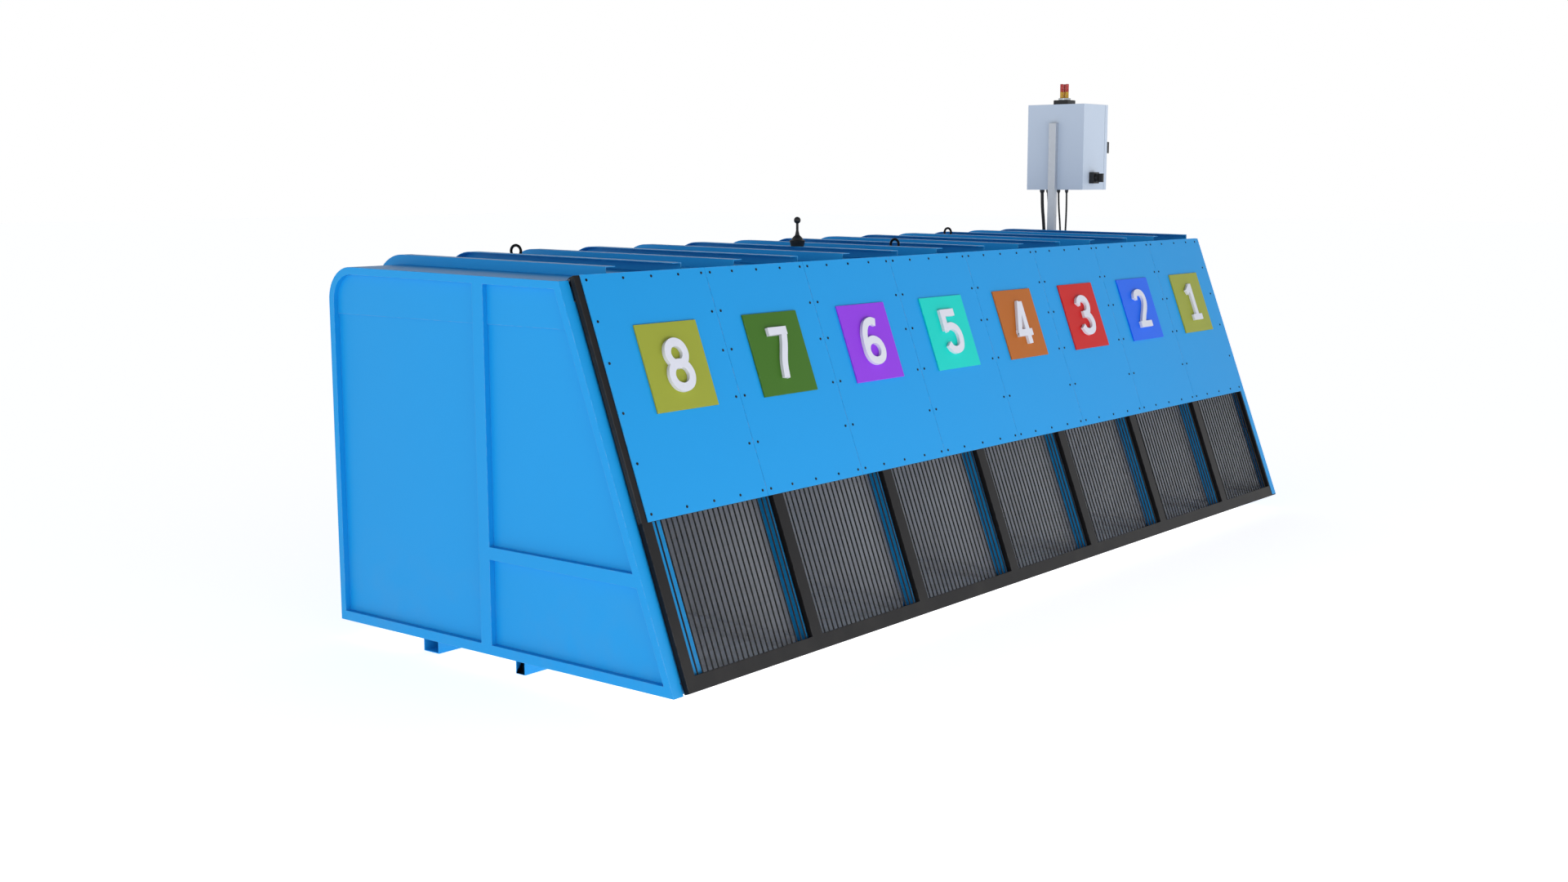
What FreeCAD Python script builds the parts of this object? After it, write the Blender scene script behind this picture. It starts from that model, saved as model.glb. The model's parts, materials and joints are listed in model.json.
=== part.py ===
import FreeCAD, Part
import math
import os

os.makedirs("parts", exist_ok=True)
V = FreeCAD.Vector

# Starting box for racing dogs. X runs along the box, the traps open towards -Y, +Z is up.
# It is laid out with X = 0 midway between the end walls, Y = 0 at the front bottom edge and
# Z = 0 under the end walls. At the end everything moves to the centre of the footprint.

# --- the box ---------------------------------------------------------------------------
LENGTH = 4172.0            # over the two end walls
DEPTH = 1502.0             # front bottom edge to rear face
FRONT_HEIGHT = 1166.0      # end wall, top front corner
SLOPE = 20.36              # degrees that the front leans back
ROOF_PITCH = 0.75          # degrees that the roof rises to the rear
REAR_RADIUS = 110.0        # rounded rear top corner
SKID_HEIGHT = 64.0
SKID_INSET = 60.0
FRONT_SKID_Y = 676.0
FRONT_SKID_WIDTH = 42.0
REAR_SKID_Y = 1081.0
REAR_SKID_WIDTH = 74.0
SKID_WALL = 4.0

# --- end walls ---------------------------------------------------------------------------
POST = 42.0                # thickness of an end wall along X
END_BOTTOM = 32.0          # face widths of the end wall's frame
END_RIM = 24.0
END_FRONT = 26.0
STILE_Y = 758.0
STILE_WIDTH = 48.0
RAIL_Z = 302.0
RAIL_HEIGHT = 40.0
SEAM_Z = 1025.0
FRAME_WALL = 3.0
SHEET = 2.0
SHEET_RECESS = 20.0
UPPER_SHEET_RECESS = 16.0
FILLER_WIDTH = 102.0       # plate behind the left edge of the gate
FILLER_BOTTOM = 40.0
FILLER_LAP = 12.0          # the plate's reach behind the end wall's front edge

# --- bays --------------------------------------------------------------------------------
BAYS = 7
BAY_PITCH = 589.0
FIRST_BAY_X = -2010.0
BAY_POST = 50.0
BAY_POST_DEPTH = 45.0
TUBE_WALL = 2.5
DIVIDER_SHEET = 3.0
DIVIDER_RAIL = 30.0
FLOOR = 9.0
SILL_HEIGHT = 30.0
SILL_DEPTH = 25.0
FRONT_SILL_Y = 16.0
REAR_SILL_DEPTH = 40.0

# --- roof --------------------------------------------------------------------------------
ROOF_SHEET = 2.5
ROOF_FRONT_Y = 450.0
ROOF_SKIRT_Z = 1005.0
FRONT_HEADER_BOTTOM = 1180.0   # up the slope
FRONT_HEADER_Y = 490.0
HEADER_BEHIND = 16.0       # header's front face behind the end walls' front
REAR_HEADER_Z = 1000.0
REAR_HEADER_HEIGHT = 40.0
RIB_HEIGHT = 33.0
RIB_FLANGE = 42.0
RIB_SHEET = 3.0
RIB_LEFT = 137.0           # from the bay's left line to the first rib's web
RIB_RIGHT = 474.0          # from the bay's left line to the second rib's web
RIB_TAIL_Z = 1045.0

# --- gate --------------------------------------------------------------------------------
GATE_GAP = 4.0             # between the gate and each end wall
GATE_BOTTOM = 2.0          # distances up the slope
GATE_TOP = 1252.0
GATE_DEPTH = 20.0
GATE_SHEET = 2.5
GATE_STILE = 42.0
GATE_UPRIGHT = 50.0
GATE_RAIL = 46.0
PANEL_BOTTOM = 505.5
PANEL_RAIL = 42.0
PANEL_SHEET = 3.0
PANEL_INSET = 24.0         # from the gate's side to the panel's edge
PANEL_PITCH = 500.0
FIRST_JOINT_X = -1470.0
PANELS = 8
PANEL_JOINT = 1.5
BAR_RADIUS = 2.6
BAR_PITCH = 23.1
SCREW_PITCH_ACROSS = 122.0
SCREWS_UPPER = 3
SCREW_SPACING_UPPER = 127.0
SCREW_SPACING_LOWER = 151.6
SCREW_EDGE = 20.0
SCREW_EDGE_TOP = 17.5
SCREW_HEAD_RADIUS = 4.5
SCREW_HEAD = 1.0
SCREW_SHANK_RADIUS = 2.4
SCREW_CLEARANCE = 0.2
PLATE = 274.0
PLATE_THICK = 6.0
PLATE_PITCH = 498.2
PLATE_CENTRE_X = 22.0
PLATE_CENTRE_S = 949.5
DIGIT_HEIGHT = 170.0
DIGIT_WIDTH = 104.0
DIGIT_STROKE = 28.0
DIGIT_THICK = 12.0

# --- gate hinges and magnets -------------------------------------------------------------
HINGE_S = 1245.0           # hinge line, up the slope and behind the gate's back
HINGE_BEHIND = 7.4
GATE_PIN_RADIUS = 4.0
PIN_CLEARANCE = 0.06
GATE_BARREL_RADIUS = 7.0
GATE_KNUCKLE = 24.0
KNUCKLE_GAP = 0.5
MAGNET_WIDTH = 60.0
MAGNET_HEIGHT = 24.0
MAGNET_DEPTH = 12.0
MAGNET_GAP = 0.5
KEEPER_THICK = 2.0

# --- rear doors --------------------------------------------------------------------------
DOOR_GAP = 6.0
DOOR_DEPTH = 24.0
DOOR_WALL = 2.0
DOOR_PIN_RADIUS = 3.0
DOOR_BARREL_RADIUS = 6.0
DOOR_LEAF = 3.0
DOOR_LEAF_WIDTH = 36.0
DOOR_KNUCKLE = 24.0
DOOR_HINGE_LOW = 180.0
DOOR_HINGE_HIGH = 820.0
VENT_ROWS = 3
VENT_COLUMNS = 4
VENT_LENGTH = 80.0
VENT_HEIGHT = 12.0
VENT_TOP_Z = 900.0
VENT_PITCH_Z = 30.0
BOLT_RADIUS = 6.0
BOLT_LENGTH = 120.0
BOLT_Z = 560.0
BOLT_TRAVEL = 30.0
BOLT_CLEARANCE = 0.08
BOLT_STANDOFF = 10.0
BOLT_GUIDE = 14.0
BOLT_KNOB_RADIUS = 5.0
BOLT_KNOB = 28.0

# --- mast and control box ----------------------------------------------------------------
MAST_X = 2010.0
MAST_SIZE_X = 25.0
MAST_SIZE_Y = 39.0
MAST_Y = 1168.5
MAST_TOP = 1730.0
MAST_FOOT = 6.0
MAST_FOOT_MARGIN = 9.0
BOX_SIZE_X = 210.0
BOX_SIZE_Y = 314.0
BOX_SIZE_Z = 415.0
BOX_Y = 1027.0
BOX_Z = 1405.0
BOX_WALL = 2.0
BOX_DOOR = 26.0
BOX_DOOR_GAP = 2.0
BOX_PIN_RADIUS = 3.0
BARREL_GAP = 1.0           # between the door's edge and the barrels beside it
LOCK_Y = 20.0              # from the control box's front edge to the lock's centre
LOCK_WIDTH = 20.0
LOCK_HEIGHT = 56.0
LOCK_DEPTH = 42.0
LOCK_HUB_RADIUS = 9.0
LOCK_HUB = 5.0
SWITCH_X = 90.0            # from the control box's back to the switch's centre
SWITCH_Z = 58.0
SWITCH_BASE = 55.0
SWITCH_BASE_DEPTH = 26.0
SWITCH_KNOB_RADIUS = 21.0
SWITCH_KNOB_DEPTH = 37.0
SWITCH_GRIP = 12.0
LIGHT_X = 115.0
LIGHT_Y = 176.0
LIGHT_BASE = 80.0
LIGHT_BASE_HEIGHT = 24.0
LIGHT_FOOT = 10.0
LIGHT_COLUMN_RADIUS = 8.8
LIGHT_CIRCLE = 15.0
LIGHT_FOOT_RIM = 7.0
LIGHT_YELLOW = 31.0
LIGHT_RED = 38.0
CABLE_X = 27.0             # from the control box's back to the cable line
GLAND_RADIUS = 11.0
GLAND_HEIGHT = 16.0
GROMMET_RADIUS = 11.0
GROMMET_HEIGHT = 5.0
MAIN_CABLE_RADIUS = 8.0
SMALL_CABLE_RADIUS = 4.5

# --- antenna and lifting eyes ------------------------------------------------------------
ANTENNA_RIB = 2            # counted from zero, the right-hand rib of this bay carries it
ANTENNA_Y = 900.0
ANTENNA_HEIGHT = 111.0
ANTENNA_BALL = 13.0
EYE_OUTER = 25.0
EYE_BORE = 15.0
EYE_COLLAR = 9.0
EYE_COLLAR_RADIUS = 14.0
EYE_PLACES = ((-1405.0, 1345.0, 14.0), (75.0, 768.0, -4.0), (1330.0, 1345.0, -7.0))

# --- worked out --------------------------------------------------------------------------
HALF = LENGTH / 2
INSIDE = HALF - POST
SIN = math.sin(math.radians(SLOPE))
COS = math.cos(math.radians(SLOPE))
TAN = SIN / COS
RISE = math.tan(math.radians(ROOF_PITCH))
FRONT_TOP_Y = FRONT_HEIGHT * TAN
ARC_Y = DEPTH - REAR_RADIUS
POST_BACK = DEPTH - ROOF_SHEET
GATE_HALF = INSIDE - GATE_GAP
BOX_X = MAST_X + MAST_SIZE_X

nodes = {}


def roof_z(y, out=0.0):
    """Height of the roof line at y, moved out square to the roof."""
    return FRONT_HEIGHT + (y - FRONT_TOP_Y) * RISE + out / math.cos(math.radians(ROOF_PITCH))


ARC_Z = roof_z(ARC_Y) - REAR_RADIUS / math.cos(math.radians(ROOF_PITCH))


def slope_y(z, behind=0.0):
    """Y of the front plane at height z, moved back square to the slope."""
    return z * TAN + behind / COS


def divider_x(i):
    return FIRST_BAY_X + i * BAY_PITCH


def box(x0, x1, y0, y1, z0, z1):
    return Part.makeBox(x1 - x0, y1 - y0, z1 - z0, V(x0, y0, z0))


def to_slope(shape):
    """Turns a shape drawn upright, with z up the slope and -y outwards, onto the slope."""
    turned = shape.copy()
    turned.rotate(V(0, 0, 0), V(1, 0, 0), -SLOPE)
    return turned


def slope_box(x0, x1, s0, s1, v0, v1):
    """A box on the front slope: s up the slope, v outwards from the end walls' front."""
    return to_slope(box(x0, x1, -v1, -v0, s0, s1))


def tube(outer, inner):
    return outer.cut(inner)


def tube_x(x0, x1, y0, y1, z0, z1, wall):
    inner = box(x0 - 1, x1 + 1, y0 + wall, y1 - wall, z0 + wall, z1 - wall)
    return tube(box(x0, x1, y0, y1, z0, z1), inner)


def tube_z(x0, x1, y0, y1, z0, z1, wall):
    inner = box(x0 + wall, x1 - wall, y0 + wall, y1 - wall, z0 - 1, z1 + 1)
    return tube(box(x0, x1, y0, y1, z0, z1), inner)


def profile(points, x0, x1):
    """Extrudes an outline of (y, z) points from x0 to x1."""
    wire = Part.makePolygon([V(x0, y, z) for y, z in points + points[:1]])
    return Part.Face(wire).extrude(V(x1 - x0, 0, 0))


def wall_curve(out, x, y_front, z_low):
    """Roof line from the front, over the rear corner and down to z_low, moved out by out."""
    radius = REAR_RADIUS + out
    tilt = math.radians(ROOF_PITCH)
    start = V(x, y_front, roof_z(y_front, out))
    top = V(x, ARC_Y - radius * math.sin(tilt), ARC_Z + radius * math.cos(tilt))
    middle_angle = (math.radians(90) + tilt) / 2
    middle = V(x, ARC_Y + radius * math.cos(middle_angle), ARC_Z + radius * math.sin(middle_angle))
    side = V(x, DEPTH + out, ARC_Z)
    end = V(x, DEPTH + out, z_low)
    return [start, top, middle, side, end]


def curve_edges(points):
    start, top, middle, side, end = points
    first = Part.LineSegment(start, top).toShape()
    arc = Part.Arc(top, middle, side).toShape()
    last = Part.LineSegment(side, end).toShape()
    return [first, arc, last]


def roof_band(out0, out1, y_front, z_low, x0, x1):
    """The strip between two roof curves, extruded from x0 to x1."""
    low = wall_curve(out0, x0, y_front, z_low)
    high = wall_curve(out1, x0, y_front, z_low)
    edges = curve_edges(low) + curve_edges(high)
    edges.append(Part.LineSegment(low[0], high[0]).toShape())
    edges.append(Part.LineSegment(low[4], high[4]).toShape())
    wire = Part.Wire(Part.__sortEdges__(edges))
    return Part.Face(wire).extrude(V(x1 - x0, 0, 0))


# --- skids and floor ---------------------------------------------------------------------
def make_skids():
    x0 = -HALF + SKID_INSET
    front_end = FRONT_SKID_Y + FRONT_SKID_WIDTH
    rear_end = REAR_SKID_Y + REAR_SKID_WIDTH
    nodes["front_skid"] = tube_x(x0, -x0, FRONT_SKID_Y, front_end, -SKID_HEIGHT, 0, SKID_WALL)
    nodes["rear_skid"] = tube_x(x0, -x0, REAR_SKID_Y, rear_end, -SKID_HEIGHT, 0, SKID_WALL)


def make_floor():
    front_end = FRONT_SILL_Y + SILL_DEPTH
    rear_start = POST_BACK - REAR_SILL_DEPTH
    front = tube_x(-INSIDE, INSIDE, FRONT_SILL_Y, front_end, 0, SILL_HEIGHT, TUBE_WALL)
    rear = tube_x(-INSIDE, INSIDE, rear_start, POST_BACK, 0, SILL_HEIGHT, TUBE_WALL)
    nodes["floor_sills"] = Part.Compound([front, rear])
    nodes["floor_panel"] = box(-INSIDE, INSIDE, front_end, rear_start, 0, FLOOR)


# --- end walls ---------------------------------------------------------------------------
def end_outline(inset, x):
    """Closed outline of the end wall's opening or outside, inset from the outer edge."""
    bottom = END_BOTTOM if inset else 0.0
    behind = END_FRONT if inset else 0.0
    curve = wall_curve(-inset, x, 0.0, bottom)
    # the front top corner is where the slope meets the roof line
    top_z = (roof_z(0.0, -inset) + behind / COS * RISE) / (1 - TAN * RISE)
    curve[0] = V(x, slope_y(top_z, behind), top_z)
    start = V(x, slope_y(bottom, behind), bottom)
    edges = curve_edges(curve)
    edges.append(Part.LineSegment(curve[4], start).toShape())
    edges.append(Part.LineSegment(start, curve[0]).toShape())
    return Part.Face(Part.Wire(Part.__sortEdges__(edges)))


def end_openings(x0, x1):
    """The three openings of an end wall: rear, upper front and lower front."""
    whole = end_outline(END_RIM, x0).extrude(V(x1 - x0, 0, 0))
    stile_back = STILE_Y + STILE_WIDTH
    rail_top = RAIL_Z + RAIL_HEIGHT
    high = FRONT_HEIGHT * 2
    rear = whole.common(box(x0, x1, stile_back, DEPTH, 0, high))
    upper = whole.common(box(x0, x1, 0, STILE_Y, rail_top, high))
    lower = whole.common(box(x0, x1, 0, STILE_Y, 0, RAIL_Z))
    return [rear, upper, lower]


def grown(openings, wall):
    """The openings again, larger all round by the wall, for the channel inside the frame."""
    out = []
    for shape in openings:
        face = min(shape.Faces, key=lambda f: f.CenterOfMass.x)
        wire = face.OuterWire.makeOffset2D(wall, 2, False, False)
        length = shape.BoundBox.XLength
        out.append(Part.Face(wire).extrude(V(length, 0, 0)))
    return out


def make_end(name, side):
    """side is -1 for the left end and 1 for the right end; it is built at the left."""
    x0 = -HALF
    x1 = -INSIDE
    frame = end_outline(0.0, x0).extrude(V(POST, 0, 0))
    for opening in end_openings(x0, x1):
        frame = frame.cut(opening)
    hollow_face = end_outline(0.0, x0 + FRAME_WALL)
    rim = hollow_face.OuterWire.makeOffset2D(-FRAME_WALL, 2, False, False)
    hollow = Part.Face(rim).extrude(V(POST - FRAME_WALL, 0, 0))
    for opening in grown(end_openings(x0, x1 + POST), FRAME_WALL):
        hollow = hollow.cut(opening)
    frame = frame.cut(hollow)
    seam_top = FRONT_HEIGHT * 2
    sheets = []
    for low, high, recess in ((0, SEAM_Z, SHEET_RECESS), (SEAM_Z, seam_top, UPPER_SHEET_RECESS)):
        for panel in end_openings(x0 + recess, x0 + recess + SHEET):
            piece = panel.common(box(-HALF, -INSIDE, 0, DEPTH, low, high))
            sheets.extend(piece.Solids)
    sheet_group = Part.Compound(sheets)
    if side > 0:
        frame = frame.mirror(V(0, 0, 0), V(1, 0, 0))
        sheet_group = sheet_group.mirror(V(0, 0, 0), V(1, 0, 0))
    nodes[name + "_end_frame"] = frame
    nodes[name + "_end_sheets"] = sheet_group


def make_filler():
    top = FRONT_HEADER_BOTTOM - 1
    front = -FRAME_WALL
    left = -INSIDE - FILLER_LAP
    plate = slope_box(left, -INSIDE + FILLER_WIDTH, FILLER_BOTTOM, top, front - SHEET, front)
    nodes["left_filler_plate"] = plate


# --- dividers between the bays -----------------------------------------------------------
def header_profile():
    """Outline of the front header, under the roof's front edge."""
    bottom = FRONT_HEADER_BOTTOM * COS
    # where the header's front face meets the underside of the roof
    top_y = slope_y(roof_z(0.0, -ROOF_SHEET), HEADER_BEHIND) / (1 - TAN * RISE)
    return [(slope_y(bottom, HEADER_BEHIND), bottom), (FRONT_HEADER_Y, bottom),
            (FRONT_HEADER_Y, roof_z(FRONT_HEADER_Y, -ROOF_SHEET)),
            (top_y, roof_z(top_y, -ROOF_SHEET))]


def make_headers():
    outline = header_profile()
    wire = Part.makePolygon([V(-INSIDE, y, z) for y, z in outline + outline[:1]])
    outer = Part.Face(wire).extrude(V(2 * INSIDE, 0, 0))
    inner_wire = wire.makeOffset2D(-TUBE_WALL, 2, False, False)
    inner = Part.Face(inner_wire).extrude(V(2 * INSIDE, 0, 0))
    front = outer.cut(inner)
    rear_y = POST_BACK - REAR_SILL_DEPTH
    rear_top = REAR_HEADER_Z + REAR_HEADER_HEIGHT
    rear = tube_x(-INSIDE, INSIDE, rear_y, POST_BACK, REAR_HEADER_Z, rear_top, TUBE_WALL)
    nodes["roof_headers"] = Part.Compound([front, rear])


def make_divider(i):
    """Frame of divider i: sloping front post, rear post, bottom and top rails."""
    x0 = divider_x(i) - BAY_POST / 2
    x1 = x0 + BAY_POST
    back = BAY_POST_DEPTH + FRAME_WALL
    wall = TUBE_WALL
    header_z = FRONT_HEADER_BOTTOM * COS
    rear_y = POST_BACK - REAR_SILL_DEPTH
    long_post = slope_box(x0, x1, -200, FRONT_HEADER_BOTTOM + 200, -back, -FRAME_WALL)
    hollow = slope_box(x0 + wall, x1 - wall, -300, FRONT_HEADER_BOTTOM + 300,
                       -back + wall, -FRAME_WALL - wall)
    front = long_post.cut(hollow)
    front = front.common(box(x0 - 1, x1 + 1, -100, DEPTH, SILL_HEIGHT, header_z))
    rear = tube_z(x0, x1, rear_y, POST_BACK, SILL_HEIGHT, REAR_HEADER_Z, wall)
    rail_top = FLOOR + DIVIDER_RAIL
    bottom_start = slope_y(rail_top, back) + 0.5
    bottom = tube(box(x0, x1, bottom_start, rear_y, FLOOR, rail_top),
                  box(x0 + wall, x1 - wall, bottom_start - 1, rear_y + 1, FLOOR + wall, rail_top - wall))
    front_y = FRONT_HEADER_Y
    under = [(front_y, roof_z(front_y, -ROOF_SHEET)), (ARC_Y, roof_z(ARC_Y, -ROOF_SHEET)),
             (ARC_Y, roof_z(ARC_Y, -ROOF_SHEET) - DIVIDER_RAIL),
             (front_y, roof_z(front_y, -ROOF_SHEET) - DIVIDER_RAIL)]
    top = profile(under, x0, x1)
    lower = [(y, z + (-wall if z > roof_z(y) - DIVIDER_RAIL / 2 else wall)) for y, z in under]
    long_lower = [(lower[0][0] - 1, lower[0][1]), (lower[1][0] + 1, lower[1][1]),
                  (lower[2][0] + 1, lower[2][1]), (lower[3][0] - 1, lower[3][1])]
    top = top.cut(profile(long_lower, x0 + wall, x1 - wall))
    frame = front.fuse(rear).fuse(bottom).fuse(top)
    return frame.Solids


def divider_sheet(i):
    """Sheet of divider i, inside its frame and up against the roof's corner."""
    x = divider_x(i) - DIVIDER_SHEET / 2
    back = BAY_POST_DEPTH + FRAME_WALL
    low = FLOOR + DIVIDER_RAIL
    top_front = FRONT_HEADER_BOTTOM * COS
    rear_y = POST_BACK - REAR_SILL_DEPTH
    under = ROOF_SHEET + DIVIDER_RAIL / math.cos(math.radians(ROOF_PITCH))
    points = [(slope_y(low, back), low), (rear_y, low), (rear_y, REAR_HEADER_Z),
              (ARC_Y, REAR_HEADER_Z), (ARC_Y, roof_z(ARC_Y, 0) - under),
              (FRONT_HEADER_Y, roof_z(FRONT_HEADER_Y, 0) - under),
              (FRONT_HEADER_Y, top_front), (slope_y(top_front, back), top_front)]
    return profile(points, x, x + DIVIDER_SHEET)


def corner_posts():
    """Upright tubes beside the end walls, which carry the outer rear doors."""
    rear_y = POST_BACK - REAR_SILL_DEPTH
    posts = []
    for x in (-INSIDE, INSIDE - BAY_POST):
        posts.append(tube_z(x, x + BAY_POST, rear_y, POST_BACK, SILL_HEIGHT, REAR_HEADER_Z, TUBE_WALL))
    return posts


def make_dividers():
    frames = corner_posts()
    for i in range(1, BAYS):
        frames.extend(make_divider(i))
    nodes["divider_frames"] = Part.Compound(frames)
    nodes["divider_sheets"] = Part.Compound([divider_sheet(i) for i in range(1, BAYS)])


# --- roof --------------------------------------------------------------------------------
def make_roof():
    """The roof in three sheets, butt joined: the flat, the rolled rear corner and the rear strip."""
    whole = roof_band(-ROOF_SHEET, 0.0, ROOF_FRONT_Y, ROOF_SKIRT_Z, -INSIDE, INSIDE)
    high = 2 * FRONT_HEIGHT
    flat = whole.common(box(-INSIDE, INSIDE, 0, ARC_Y, 0, high))
    corner = whole.common(box(-INSIDE, INSIDE, ARC_Y, DEPTH, ARC_Z, high))
    strip = whole.common(box(-INSIDE, INSIDE, ARC_Y, DEPTH, 0, ARC_Z))
    nodes["roof_panel"] = Part.Compound(flat.Solids + corner.Solids + strip.Solids)


def rib(web_x, flange_x0):
    """One roof rib: an upright web and a flange on top, bent over the rear corner."""
    under = RIB_HEIGHT - RIB_SHEET
    web = roof_band(0.0, RIB_HEIGHT, ROOF_FRONT_Y, RIB_TAIL_Z, web_x, web_x + RIB_SHEET)
    flange = roof_band(under, RIB_HEIGHT, ROOF_FRONT_Y, RIB_TAIL_Z, flange_x0, flange_x0 + RIB_FLANGE)
    return web.fuse(flange).removeSplitter()


def make_ribs():
    ribs = []
    for i in range(BAYS):
        left = divider_x(i) + RIB_LEFT
        right = divider_x(i) + RIB_RIGHT
        ribs.append(rib(left, left))
        ribs.append(rib(right - RIB_SHEET, right - RIB_FLANGE))
    nodes["roof_ribs"] = Part.Compound(ribs)


# --- gate --------------------------------------------------------------------------------
def gate_openings(grow):
    """Openings of the gate's frame as (x0, x1, s0, s1), made larger all round by grow."""
    edges = [-GATE_HALF + GATE_STILE]
    for i in range(1, BAYS):
        edges.append(divider_x(i) - GATE_UPRIGHT / 2)
        edges.append(divider_x(i) + GATE_UPRIGHT / 2)
    edges.append(GATE_HALF - GATE_STILE)
    out = []
    for i in range(BAYS):
        x0 = edges[2 * i] - grow
        x1 = edges[2 * i + 1] + grow
        out.append((x0, x1, GATE_BOTTOM + GATE_RAIL - grow, PANEL_BOTTOM + grow))
        out.append((x0, x1, PANEL_BOTTOM + PANEL_RAIL - grow, GATE_TOP - PANEL_RAIL + grow))
    return out


def gate_hinge_places():
    """X of each gate hinge: next to both ends and beside each divider."""
    inner = [divider_x(i) for i in range(1, BAYS)]
    return [-GATE_HALF + GATE_STILE] + inner + [GATE_HALF - GATE_STILE]


def slope_cylinder(x0, x1, s, v, radius):
    return to_slope(Part.makeCylinder(radius, x1 - x0, V(x0, -v, s), V(1, 0, 0)))


def make_gate_frame():
    wall = GATE_SHEET
    frame = slope_box(-GATE_HALF, GATE_HALF, GATE_BOTTOM, GATE_TOP, 0, GATE_DEPTH)
    hollow = slope_box(-GATE_HALF + wall, GATE_HALF - wall, GATE_BOTTOM + wall, GATE_TOP - wall,
                       0, GATE_DEPTH - wall)
    holes = [slope_box(x0, x1, s0, s1, 0, GATE_DEPTH) for x0, x1, s0, s1 in gate_openings(0.0)]
    cores = [slope_box(x0, x1, s0, s1, 0, GATE_DEPTH) for x0, x1, s0, s1 in gate_openings(wall)]
    frame = frame.cut(Part.Compound(holes))
    hollow = hollow.cut(Part.Compound(cores))
    nodes["gate_frame"] = frame.cut(hollow)


def make_gate_bars():
    """Upright round bars, ending on the rails of the gate's frame."""
    bars = []
    v = GATE_DEPTH / 2
    for x0, x1, s0, s1 in gate_openings(0.0)[::2]:
        count = round((x1 - x0) / BAR_PITCH) - 1
        step = (x1 - x0) / (count + 1)
        for i in range(count):
            place = V(x0 + step * (i + 1), -v, s0)
            bars.append(to_slope(Part.makeCylinder(BAR_RADIUS, s1 - s0, place)))
    nodes["gate_bars"] = Part.Compound(bars)


def panel_edges():
    """Left and right edge of each panel."""
    joints = [FIRST_JOINT_X + i * PANEL_PITCH for i in range(PANELS - 1)]
    ends = [-GATE_HALF + PANEL_INSET] + joints + [GATE_HALF - PANEL_INSET]
    out = []
    for i in range(PANELS):
        left = ends[i] + (PANEL_JOINT / 2 if i else 0.0)
        right = ends[i + 1] - (PANEL_JOINT / 2 if i < PANELS - 1 else 0.0)
        out.append((left, right))
    return out


def screw_places(left, right, middle):
    """Screws of one panel as (x, s): a row along the top and the bottom and one down each side."""
    top = GATE_TOP - SCREW_EDGE_TOP
    rows = [top - i * SCREW_SPACING_UPPER for i in range(SCREWS_UPPER)]
    bottom = PANEL_BOTTOM + SCREW_EDGE
    while rows[-1] - SCREW_SPACING_LOWER > bottom + SCREW_EDGE:
        rows.append(rows[-1] - SCREW_SPACING_LOWER)
    inner = [middle - SCREW_PITCH_ACROSS, middle, middle + SCREW_PITCH_ACROSS]
    places = []
    for x in [left + SCREW_EDGE] + inner + [right - SCREW_EDGE]:
        places.append((x, top))
        places.append((x, bottom))
    for s in rows[1:]:
        places.append((left + SCREW_EDGE, s))
        places.append((right - SCREW_EDGE, s))
    return places


def make_panels():
    front = GATE_DEPTH + PANEL_SHEET
    panels = []
    screws = []
    for i, (left, right) in enumerate(panel_edges()):
        middle = FIRST_JOINT_X + (i - 0.5) * PANEL_PITCH
        panel = slope_box(left, right, PANEL_BOTTOM, GATE_TOP, GATE_DEPTH, front)
        holes = []
        for x, s in screw_places(left, right, middle):
            hole_radius = SCREW_SHANK_RADIUS + SCREW_CLEARANCE
            base = V(x, -GATE_DEPTH, s)
            out = V(0, -1, 0)
            holes.append(to_slope(Part.makeCylinder(hole_radius, PANEL_SHEET, base, out)))
            shank = Part.makeCylinder(SCREW_SHANK_RADIUS, PANEL_SHEET, base, out)
            head = Part.makeCylinder(SCREW_HEAD_RADIUS, SCREW_HEAD, V(x, -front, s), out)
            screws.append(to_slope(shank.fuse(head)))
        panels.append(panel.cut(Part.Compound(holes)))
    nodes["gate_panels"] = Part.Compound(panels)
    nodes["panel_screws"] = Part.Compound(screws)


def plate_centre(i):
    return PLATE_CENTRE_X + (i - (PANELS - 1) / 2) * PLATE_PITCH


def band(a, b):
    """A straight stroke from a to b with square ends."""
    length = math.hypot(b[0] - a[0], b[1] - a[1])
    across = ((a[1] - b[1]) / length * DIGIT_STROKE / 2, (b[0] - a[0]) / length * DIGIT_STROKE / 2)
    return patch([(a[0] + across[0], a[1] + across[1]), (a[0] - across[0], a[1] - across[1]),
                  (b[0] - across[0], b[1] - across[1]), (b[0] + across[0], b[1] + across[1])])


def patch(points):
    wire = Part.makePolygon([V(x, y, 0) for x, y in points + points[:1]])
    return Part.Face(wire).extrude(V(0, 0, DIGIT_THICK))


def ring(x, y, radius):
    outer = Part.makeCylinder(radius + DIGIT_STROKE / 2, DIGIT_THICK, V(x, y, 0))
    return outer.cut(Part.makeCylinder(radius - DIGIT_STROKE / 2, DIGIT_THICK, V(x, y, 0)))


def bow(x, y, radius, start, end):
    """Part of a ring, anticlockwise from the angle start to the angle end, in degrees."""
    out = radius + DIGIT_STROKE / 2
    sector = Part.makeCylinder(out, DIGIT_THICK, V(x, y, 0), V(0, 0, 1), end - start)
    sector.rotate(V(x, y, 0), V(0, 0, 1), start)
    return sector.cut(Part.makeCylinder(radius - DIGIT_STROKE / 2, DIGIT_THICK, V(x, y, 0)))


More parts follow.
